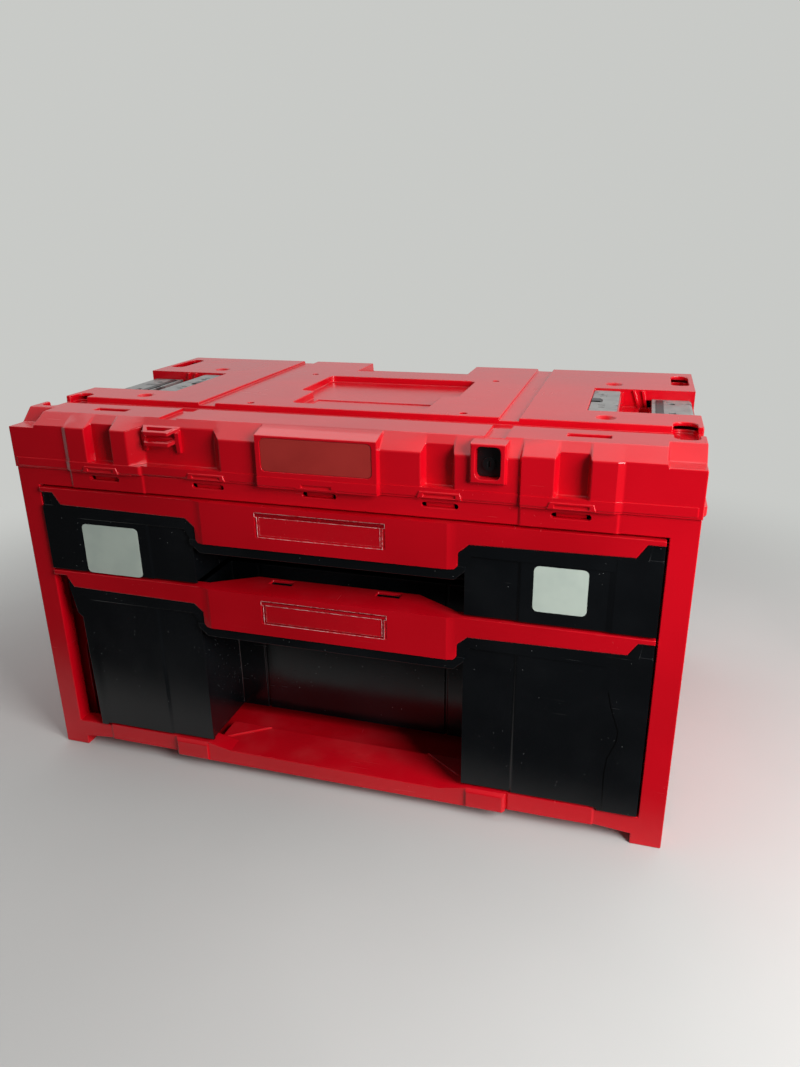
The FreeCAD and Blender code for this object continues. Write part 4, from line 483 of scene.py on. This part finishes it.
def flat_regions(work):
    """Faces that touch and lie in one plane, as lists."""
    taken = set()
    regions = []
    for seed in work.faces:
        if seed in taken or seed.calc_area() < NO_AREA:
            continue
        taken.add(seed)
        region = [seed]
        for face in region:
            for edge in face.edges:
                if len(edge.link_faces) != 2:
                    continue
                for other in edge.link_faces:
                    if other in taken or abs(other.normal.dot(seed.normal)) < IN_PLANE:
                        continue
                    rise = (other.verts[0].co - seed.verts[0].co).dot(seed.normal)
                    if abs(rise) < OFF_PLANE:
                        taken.add(other)
                        region.append(other)
        regions.append(region)
    return regions


def summed_normal(region):
    """The normals of a region's faces, each as long as its face is large."""
    return sum((face.normal * face.calc_area() for face in region), Vector())


print("a flat place may be off its plane by", round(OFF_PLANE / MM, 2), "mm")

# %% Fill them again
NEAREST_POINTS = 1e-8


def encloses(outline, point):
    inside = False
    x, y = point
    for (x1, y1), (x2, y2) in outline:
        if (y1 > y) != (y2 > y) and x < (x2 - x1) * (y - y1) / (y2 - y1) + x1:
            inside = not inside
    return inside


def refill(work, region):
    """Keeps a flat region's outline and fills it with new triangles."""
    members = set(region)
    normal = summed_normal(region)
    if normal.length < NO_AREA:
        return
    normal.normalize()
    across = normal.orthogonal().normalized()
    along = normal.cross(across)
    border = {edge for face in region for edge in face.edges
              if sum(other in members for other in edge.link_faces) == 1}
    corners = sorted({corner for edge in border for corner in edge.verts}, key=lambda c: c.index)
    number = {corner: index for index, corner in enumerate(corners)}
    start = corners[0].co.copy()
    flat = [Vector(((c.co - start).dot(across), (c.co - start).dot(along))) for c in corners]
    lines = sorted(tuple(number[corner] for corner in edge.verts) for edge in border)
    points, _, triangles, origin, _, _ = delaunay_2d_cdt(flat, lines, [], 0, NEAREST_POINTS)
    outline = [(tuple(flat[a]), tuple(flat[b])) for a, b in lines]
    kept = [triangle for triangle in triangles
            if encloses(outline, sum((points[i] for i in triangle), Vector((0, 0))) / 3)]
    bmesh.ops.delete(work, geom=region, context="FACES_ONLY")
    place = {}
    for triangle in kept:
        for index in triangle:
            if index in place:
                continue
            if origin[index]:
                place[index] = corners[origin[index][0]]
            else:
                x, y = points[index]
                place[index] = work.verts.new(start + across * x + along * y)
        ring = [place[index] for index in triangle]
        if len(set(ring)) == 3 and not work.faces.get(ring):
            face = work.faces.new(ring)
            face.normal_update()
            if face.normal.dot(normal) < 0:
                face.normal_flip()


print("flat places are filled by triangulation")

# %% [markdown]
# After each try the result is laid on the measured part. Where a face strays from
# it or looks the wrong way, the edges near it get a narrower radius and the part is
# bevelled again, until it is clean or the tries are used up.

# %% Bevel once
SEGMENTS = 2
SAME_POINT = 2e-6


def finished_mesh(piece):
    """A plain mesh of what a piece's modifiers make."""
    graph = bpy.context.evaluated_depsgraph_get()
    return bpy.data.meshes.new_from_object(piece.evaluated_get(graph))


def bevelled(mesh, width):
    """The mesh with its weighted edges bevelled and its flat places filled again."""
    piece = new_object("trial", mesh)
    bevel = piece.modifiers.new("edges", "BEVEL")
    bevel.limit_method = "WEIGHT"
    bevel.width = width
    bevel.segments = SEGMENTS
    bevel.use_clamp_overlap = False
    bevel.loop_slide = False
    result = finished_mesh(piece)
    bpy.data.objects.remove(piece)
    work = bmesh.new()
    work.from_mesh(result)
    bpy.data.meshes.remove(result)
    bmesh.ops.remove_doubles(work, verts=work.verts, dist=SAME_POINT)
    work.normal_update()
    work.verts.index_update()
    for region in flat_regions(work):
        if len(region) > 1 or len(region[0].verts) > 4:
            refill(work, region)
            work.verts.index_update()
    bmesh.ops.delete(work, geom=[c for c in work.verts if not c.link_faces], context="VERTS")
    work.normal_update()
    return work


print("each bevel has", SEGMENTS, "segments")

# %% Bevel, compare and try again
TRIES = 7
SLIVER = 4e-9
STRAYS, LOOKS_AWAY = 0.6, 0.05
SHARE_OF_ROOM, LEAST_WEIGHT, NARROWER = 0.40, 0.02, 0.5
CLEAN = 2e-7


def faults(work, surface, width):
    """Places where the bevelled part strays from the measured one, with their areas."""
    places = []
    for face in work.faces:
        area = face.calc_area()
        if area < SLIVER:
            continue
        middle = face.calc_center_median()
        _, normal, _, distance = surface.find_nearest(middle)
        if distance > STRAYS * width or face.normal.dot(normal) < LOOKS_AWAY:
            places.append((middle.copy(), area))
    return places


def reach(width, weight, area):
    """How near to an edge a fault lies that the edge is to blame for."""
    return 1.5 * width * max(0.3, weight) + 0.5 * area ** 0.5


def best_bevel(source, surface, width):
    """The best of the tries, and the area that still strays."""
    weights = source.edges.layers.float.new("bevel_weight_edge")
    sharp = {edge for edge in source.edges
             if len(edge.link_faces) == 2 and edge.calc_face_angle(0) > SHARP}
    for edge in sharp:
        share = SHARE_OF_ROOM * room_beside(edge, sharp) / width
        edge[weights] = max(LEAST_WEIGHT, min(1.0, share))
    best, least = None, None
    for _ in range(TRIES):
        start = bpy.data.meshes.new("start")
        source.to_mesh(start)
        work = bevelled(start, width)
        bpy.data.meshes.remove(start)
        bad = faults(work, surface, width)
        strayed = sum(area for _, area in bad)
        if least is None or strayed < least:
            if best:
                best.free()
            best, least = work, strayed
        else:
            work.free()
        if strayed < CLEAN:
            break
        for edge in sharp:
            if any(distance_to_edge(place, edge) < reach(width, edge[weights], area)
                   for place, area in bad):
                edge[weights] *= NARROWER
    return best, least


print("tries for each part:", TRIES)

# %% [markdown]
# A flat face should shade flat right up to its radius, and the radius should blend
# from one face into the next. So each corner of each face gets its own normal: on a
# measured face the normal of that face, on a radius the normal of the measured face
# that it touches there. Facets of one round form are averaged by their areas, but a
# narrow slope between two much larger faces is a line of the design and stays crisp.

# %% Normals that keep flat faces flat
ON_SURFACE, SAME_NORMAL = 4e-6, 0.9995
MUCH_LARGER = 4
WIDE = math.radians(50)
LOOSELY_ALIGNED = 0.5
NO_NORMAL = 1e-14


def measured_regions(work, surface):
    """Each face's flat region, and each region's normal, if it is a measured face, and size."""
    region_of, flat, size = {}, [], []
    for index, region in enumerate(flat_regions(work)):
        total = summed_normal(region)
        largest = max(region, key=lambda face: face.calc_area())
        _, normal, _, distance = surface.find_nearest(largest.calc_center_median())
        measured = distance < ON_SURFACE and abs(normal.dot(largest.normal)) > SAME_NORMAL
        flat.append(total.normalized() if measured and total.length > 0 else None)
        size.append(total.length)
        for face in region:
            region_of[face] = index
    return region_of, flat, size


def narrow_slopes(work, region_of, flat, size):
    """Measured regions that lie between much larger ones at a small angle."""
    beside = {}
    for edge in work.edges:
        pair = {region_of[face] for face in edge.link_faces if face in region_of}
        if len(pair) == 2:
            one, two = pair
            if flat[one] and flat[two] and flat[one].dot(flat[two]) > math.cos(SHARP):
                beside.setdefault(one, set()).add(two)
                beside.setdefault(two, set()).add(one)
    return {one for one, others in beside.items()
            if all(size[two] > MUCH_LARGER * size[one] for two in others)}


def corner_normals(work, surface):
    region_of, flat, size = measured_regions(work, surface)
    slopes = narrow_slopes(work, region_of, flat, size)
    normals = []
    for face in work.faces:
        own = region_of.get(face)
        if own in slopes:
            normals.extend([flat[own]] * len(face.verts))
            continue
        measured = own is not None and flat[own]
        base = flat[own] if measured else face.normal
        limit = math.cos(SHARP if measured else WIDE)
        for corner in face.verts:
            near = {region_of[other] for other in corner.link_faces if other in region_of}
            blend = Vector()
            for index in near - slopes:
                if flat[index] and flat[index].dot(base) > limit:
                    blend += flat[index] * size[index]
            if blend.length < NO_AREA:
                for other in corner.link_faces:
                    if other.normal.dot(base) > LOOSELY_ALIGNED:
                        blend += other.normal * other.calc_area()
            normals.append(blend.normalized() if blend.length > NO_NORMAL else base)
    return normals


print("slopes", MUCH_LARGER, "times smaller than their neighbours stay crisp")

# %% Round the edges of a measured part
ONE_FACE = math.radians(0.6)


def rounded(node, width, finish):
    """A copy of a measured part with bevelled edges, which stands for it in the picture."""
    source = bmesh.new()
    source.from_mesh(nodes[node].data)
    bmesh.ops.remove_doubles(source, verts=source.verts, dist=SAME_POINT)
    surface = BVHTree.FromBMesh(source)
    bmesh.ops.dissolve_limit(source, angle_limit=ONE_FACE, verts=source.verts,
                             edges=source.edges)
    work, strayed = best_bevel(source, surface, width)
    source.free()
    for face in work.faces:
        face.smooth = True
    normals = corner_normals(work, surface)
    mesh = bpy.data.meshes.new(node + "_rounded")
    work.to_mesh(mesh)
    work.free()
    mesh.normals_split_custom_set(normals)
    mesh.materials.append(finish)
    piece = new_object(node + "_rounded", mesh)
    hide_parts(node)
    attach(piece, body_of[node])
    print(node, len(mesh.polygons), "faces, strayed", round(strayed / MM ** 2, 2), "mm2")


print("faces within", round(math.degrees(ONE_FACE), 1), "degrees are merged first")

# %% [markdown]
# The widths below, in millimetres, follow the mouldings: the handles are the softest
# to the hand, the lid and the cabinet are crisper, and the small clips are hardly
# rounded.

# %% Give every measured part its edges and its finish
ROUNDING = {
    "cabinet_shell": (0.9, RED_SHELL),
    "top_cover": (1.1, RED_SHELL),
    "padlock_eye": (0.7, RED_SHELL),
    "drawer_trim_upper": (1.5, RED_TRIM),
    "drawer_trim_lower": (1.5, RED_TRIM),
    "drawer_tray_upper": (0.9, BLACK_TRAY),
    "drawer_tray_lower": (0.9, BLACK_CRACKED),
    "name_plate": (0.25, DULL_PLATE),
    "lock_insert": (0.4, BLACK_SMALL),
    "label_holder_upper": (0.35, CLEAR),
    "label_holder_lower": (0.35, CLEAR),
    "catch_plate_left": (0.35, GREY_CATCH),
    "catch_plate_right": (0.35, GREY_CATCH),
    "catch_clip_left": (0.35, BLACK_SMALL),
    "catch_clip_right": (0.35, BLACK_SMALL),
    "stack_latch_left": (0.35, GREY_CATCH),
    "stack_latch_right": (0.35, GREY_CATCH),
    "latch_pad_left": (0.2, BLACK_SMALL),
    "latch_pad_right": (0.2, BLACK_SMALL),
}
for node, (width, finish) in ROUNDING.items():
    rounded(node, width * MM, finish)
print(len(ROUNDING), "parts rounded")

# %% [markdown]
# The slides, the latches' pins and the paper labels are rolled, turned or cut, with
# crisp edges, so the measured parts stay as they are and only get a finish.

# %% Steel parts and paper keep their measured edges
SCREW_NODES = [node for node in nodes if node.endswith("_screws")]
for node, part in nodes.items():
    if node in ROUNDING or node in SCREW_NODES:
        continue
    part.data.materials.clear()
    part.data.materials.append(PAPER if node.startswith("front_label") else ZINC)
print("steel and paper parts:", len(nodes) - len(ROUNDING) - len(SCREW_NODES))

# %% [markdown]
# ## Screws
# The slides are held by pan-head screws with a cross recess, and so are the red
# strips. They are all one screw, so Geometry Nodes make them: a mesh of bare points
# says where each sits, an attribute on the points says which way its head looks, and
# the tree puts a screw on each. Its sizes are inputs of the tree, and each screw is
# turned by its own angle, drawn with a fixed seed, as a screwdriver leaves it.

# %% The screw tree
SCREW_SIZES = {"Head Radius": 3.4, "Head Height": 1.5, "Shank Radius": 1.6,
               "Shank Length": 4.2, "Recess Width": 1.1, "Recess Depth": 1.0}
HEAD_SIDES, SHANK_SIDES = 20, 12
DOME_TOP, SHANK_TIP, RECESS_LENGTH = 0.72, 0.8, 1.05
QUARTER_TURN = 1.5708
SCREW_SEED = 4


def screw_tree():
    tree = bpy.data.node_groups.new("pan_head_screws", "GeometryNodeTree")

    def socket(name, kind, way="INPUT"):
        return tree.interface.new_socket(name, in_out=way, socket_type="NodeSocket" + kind)

    socket("Geometry", "Geometry")
    for name, value in SCREW_SIZES.items():
        socket(name, "Float").default_value = value * MM
    socket("Seed", "Int").default_value = SCREW_SEED
    socket("Material", "Material")
    socket("Geometry", "Geometry", "OUTPUT")
    g = Graph(tree)
    group = {out.name: Wire(g, out) for out in tree.nodes.new("NodeGroupInput").outputs}

    def upright(z):
        return g.node("ShaderNodeCombineXYZ", None, {2: z})

    # The head: a low dome, as a cone whose top is narrower than its foot.
    radius, height = group["Head Radius"], group["Head Height"]
    head = g.node("GeometryNodeMeshCone", {"fill_type": "NGON"},
                  {"Vertices": HEAD_SIDES, "Radius Top": radius * DOME_TOP,
                   "Radius Bottom": radius, "Depth": height})
    # The recess: two bars that cross, cut out of the top.
    length, wide, deep = radius * RECESS_LENGTH, group["Recess Width"], group["Recess Depth"] * 2.0
    bars = []
    for sides in ([length, wide, deep], [wide, length, deep]):
        bar = g.node("GeometryNodeMeshCube", None,
                     {"Size": g.node("ShaderNodeCombineXYZ", None, sides)})
        bars.append(g.node("GeometryNodeTransform", None,
                           {"Geometry": bar, "Translation": upright(height)}))
    cut = g.node("GeometryNodeMeshBoolean", {"operation": "DIFFERENCE", "solver": "EXACT"},
                 {"Mesh 1": head, "Mesh 2": bars})
    # The shank goes down from under the head.
    shank = g.node("GeometryNodeMeshCone", {"fill_type": "NGON"},
                   {"Vertices": SHANK_SIDES, "Radius Top": group["Shank Radius"],
                    "Radius Bottom": group["Shank Radius"] * SHANK_TIP,
                    "Depth": group["Shank Length"]})
    shank = g.node("GeometryNodeTransform", None,
                   {"Geometry": shank, "Translation": upright(group["Shank Length"] * -1.0)})
    screw = g.node("GeometryNodeJoinGeometry", None, {0: [shank, cut]})
    # One screw on each point, with its head along the point's axis and its own turn.
    axis = g.node("GeometryNodeInputNamedAttribute", {"data_type": "FLOAT_VECTOR"},
                  {"Name": "axis"})
    aim = g.node("FunctionNodeAlignRotationToVector", {"axis": "Z"}, {"Vector": axis})
    angle = g.node("FunctionNodeRandomValue", {"data_type": "FLOAT"},
                   {2: 0.0, 3: QUARTER_TURN, "Seed": group["Seed"]}, out=1)
    spin = g.node("FunctionNodeAxisAngleToRotation", None, {"Axis": (0, 0, 1), "Angle": angle})
    both = g.node("FunctionNodeRotateRotation", {"rotation_space": "LOCAL"}, {0: aim, 1: spin})
    spread = g.node("GeometryNodeInstanceOnPoints", None,
                    {"Points": group["Geometry"], "Instance": screw, "Rotation": both})
    real = g.node("GeometryNodeRealizeInstances", None, {"Geometry": spread})
    finished = g.node("GeometryNodeSetMaterial", None,
                      {"Geometry": real, "Material": group["Material"]})
    g.join(tree.nodes.new("NodeGroupOutput").inputs[0], finished)
    return tree


SCREWS = screw_tree()
print("screw tree with", len(SCREWS.nodes), "nodes")

# %% [markdown]
# Eight screws hold the outer slides to the cabinet, and four the inner slides to
# each drawer. Four more hold each red strip from behind. Their places are written in
# millimetres, left and right at once.

# %% Put the screws on their points
SLIDE_HEIGHTS = {"upper": 233.5, "lower": 154.5}
TRIM_HEIGHTS = {"upper": 259.5, "lower": 180.5}
IN_CABINET, ON_DRAWER, BEHIND_TRIM = 249.8, 239.5, -170.5
ALONG_SLIDE, ACROSS_TRIM = (-110, 110), (150, 215)
SIDES = (-1, 1)


def screw_row(node, places, shank_length):
    """places: (x, y, z) under the head in mm, with the direction the head looks."""
    mesh = bpy.data.meshes.new(node + "_points")
    mesh.from_pydata([[v * MM for v in place] for place, _ in places], [], [])
    axis = mesh.attributes.new("axis", "FLOAT_VECTOR", "POINT")
    axis.data.foreach_set("vector", [v for _, direction in places for v in direction])
    piece = new_object(node + "_made", mesh)
    rows = piece.modifiers.new("screws", "NODES")
    rows.node_group = SCREWS
    key = {item.name: item.identifier for item in SCREWS.interface.items_tree
           if item.item_type == "SOCKET" and item.in_out == "INPUT"}
    rows[key["Shank Length"]] = shank_length * MM
    rows[key["Material"]] = ZINC
    done = finished_mesh(piece)
    piece.modifiers.clear()
    piece.data = done
    if "axis" in done.attributes:
        done.attributes.remove(done.attributes["axis"])
    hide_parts(node)
    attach(piece, body_of[node])
    low, high = ([round(end(v.co[i] for v in done.vertices) / MM, 1) for i in range(3)]
                 for end in (min, max))
    print(node, len(places), "screws,", len(done.polygons), "faces", low, high)


screw_row("cabinet_slide_screws",
          [((side * IN_CABINET, y, z), (-side, 0, 0))
           for side in SIDES for y in ALONG_SLIDE for z in SLIDE_HEIGHTS.values()], 4.2)
for row in ("upper", "lower"):
    screw_row(row + "_slide_screws",
              [((side * ON_DRAWER, y, SLIDE_HEIGHTS[row]), (side, 0, 0))
               for side in SIDES for y in ALONG_SLIDE], 4.1)
    screw_row(row + "_trim_screws",
              [((side * x, BEHIND_TRIM, TRIM_HEIGHTS[row]), (0, 1, 0))
               for side in SIDES for x in ACROSS_TRIM], 5.0)

# %% [markdown]
# ## The studio
# The box stands on a pale floor in soft light. The main panel stands at the right,
# so the front falls off towards the left. A large one hangs above for the lid, and a
# weak one at the left keeps that side from going dark. The world gives a weak even
# fill. What glossy plastic mirrors matters more than the lamps: a pale backdrop
# behind the box, which the lid shows, and a dark room in front, which the black
# drawers show. So the floor turns dark for reflections a little before the box, and
# away from the box it passes into the backdrop's tone.

# %% Tones of the studio
BACKDROP = (0.58, 0.59, 0.57)
FLOOR_TONE = (0.56, 0.56, 0.545)
DARK_ROOM = (0.02, 0.02, 0.022)
COOL_FILL, FILL_STRENGTH = (0.93, 0.97, 1.0), 0.11
print("backdrop", BACKDROP, "floor", FLOOR_TONE)

# %% Floor
FLOOR_REACH = 6
FAR_FROM_BOX = (0.45, 0.98)
BEFORE_BOX, SLANT, DARKNESS = (-0.20, -0.29), 0.15, 0.95


def stage_floor():
    low, high = -FLOOR_REACH, FLOOR_REACH
    mesh = bpy.data.meshes.new("studio_floor")
    mesh.from_pydata([(low, low, 0), (high, low, 0), (high, high, 0), (low, high, 0)], [],
                     [(0, 1, 2, 3)])
    floor = new_object("studio_floor", mesh)
    f = Finish("pale_floor")
    cloud = f.noise(3.0, 3.0).between(0.3, 0.7)
    shade = tuple(v * 0.95 for v in FLOOR_TONE)
    f.set(Base_Color=f.mix(cloud, shade, FLOOR_TONE), Roughness=0.9)
    seen, mirrored, bounced, through = (
        f.node("ShaderNodeLightPath", out="Is " + ray + " Ray")
        for ray in ("Camera", "Glossy", "Diffuse", "Transmission"))
    x, y = f.place.part(0), f.place.part(1)
    far = ((x * x + y * y) ** 0.5).between(*FAR_FROM_BOX)
    far = far * (seen + mirrored + through).at_most(1.0)
    front = (y - x * SLANT).between(*BEFORE_BOX)
    front = front * (mirrored + bounced).at_most(1.0) * DARKNESS
    even = f.node("ShaderNodeEmission", None, {"Color": BACKDROP, "Strength": 1.0})
    dark = f.node("ShaderNodeEmission", None, {"Color": DARK_ROOM, "Strength": 1.0})
    pale = f.node("ShaderNodeMixShader", None, [far, Wire(f, f.shader.outputs[0]), even])
    whole = f.node("ShaderNodeMixShader", None, [front, pale, dark])
    f.join(f.tree.nodes["Material Output"].inputs[0], whole)
    floor.data.materials.append(f.material)


stage_floor()
print("floor reaches", FLOOR_REACH, "m to each side")


# %% World
def studio_world():
    """A weak fill on the box, a plain backdrop for the eye, and a room for mirrors."""
    world = bpy.data.worlds.new("studio_world")
    bpy.context.scene.world = world
    world.use_nodes = True
    w = Graph(world.node_tree)
    w.tree.nodes.clear()
    direction = w.node("ShaderNodeTexCoord", out="Generated")
    x, y, z = (direction.part(index) for index in range(3))
    behind = y.between(-0.25, 0.35, 0.02, 0.50)
    above = z.between(0.0, 0.7, 0.0, 0.30)
    rightward = x.between(0.62, 0.85, 0.0, 1.1)
    leftward = x.between(-0.66, -0.88, 0.0, 0.35)
    room = (behind + above) + (rightward + leftward)
    fill, mirrored, seen = (
        w.node("ShaderNodeBackground", None, {"Color": colour, "Strength": strength})
        for colour, strength in ((COOL_FILL, FILL_STRENGTH), ((1, 1, 1), room), (BACKDROP, 1.0)))
    mirror_ray, camera_ray = (w.node("ShaderNodeLightPath", out="Is " + ray + " Ray")
                              for ray in ("Glossy", "Camera"))
    unseen = w.node("ShaderNodeMixShader", None, [mirror_ray, fill, mirrored])
    whole = w.node("ShaderNodeMixShader", None, [camera_ray, unseen, seen])
    w.join(w.tree.nodes.new("ShaderNodeOutputWorld").inputs[0], whole)


studio_world()
print("world set")


# %% Soft panels
def soft_panel(name, place, aim, size, power):
    data = bpy.data.lights.new(name, "AREA")
    data.shape = "RECTANGLE"
    data.size, data.size_y = size
    data.energy = power
    panel = new_object(name, data)
    panel.location = place
    panel.rotation_euler = (Vector(aim) - Vector(place)).to_track_quat("-Z", "Y").to_euler()


soft_panel("right_panel", (0.85, -0.62, 0.62), (0.05, 0, 0.2), (0.5, 0.6), 13)
soft_panel("top_panel", (0.0, 0.4, 1.9), (0, 0, 0.3), (3.0, 2.4), 25)
soft_panel("left_panel", (-1.7, 0.2, 1.2), (0, 0, 0.3), (0.9, 0.9), 2)
print("three soft panels")
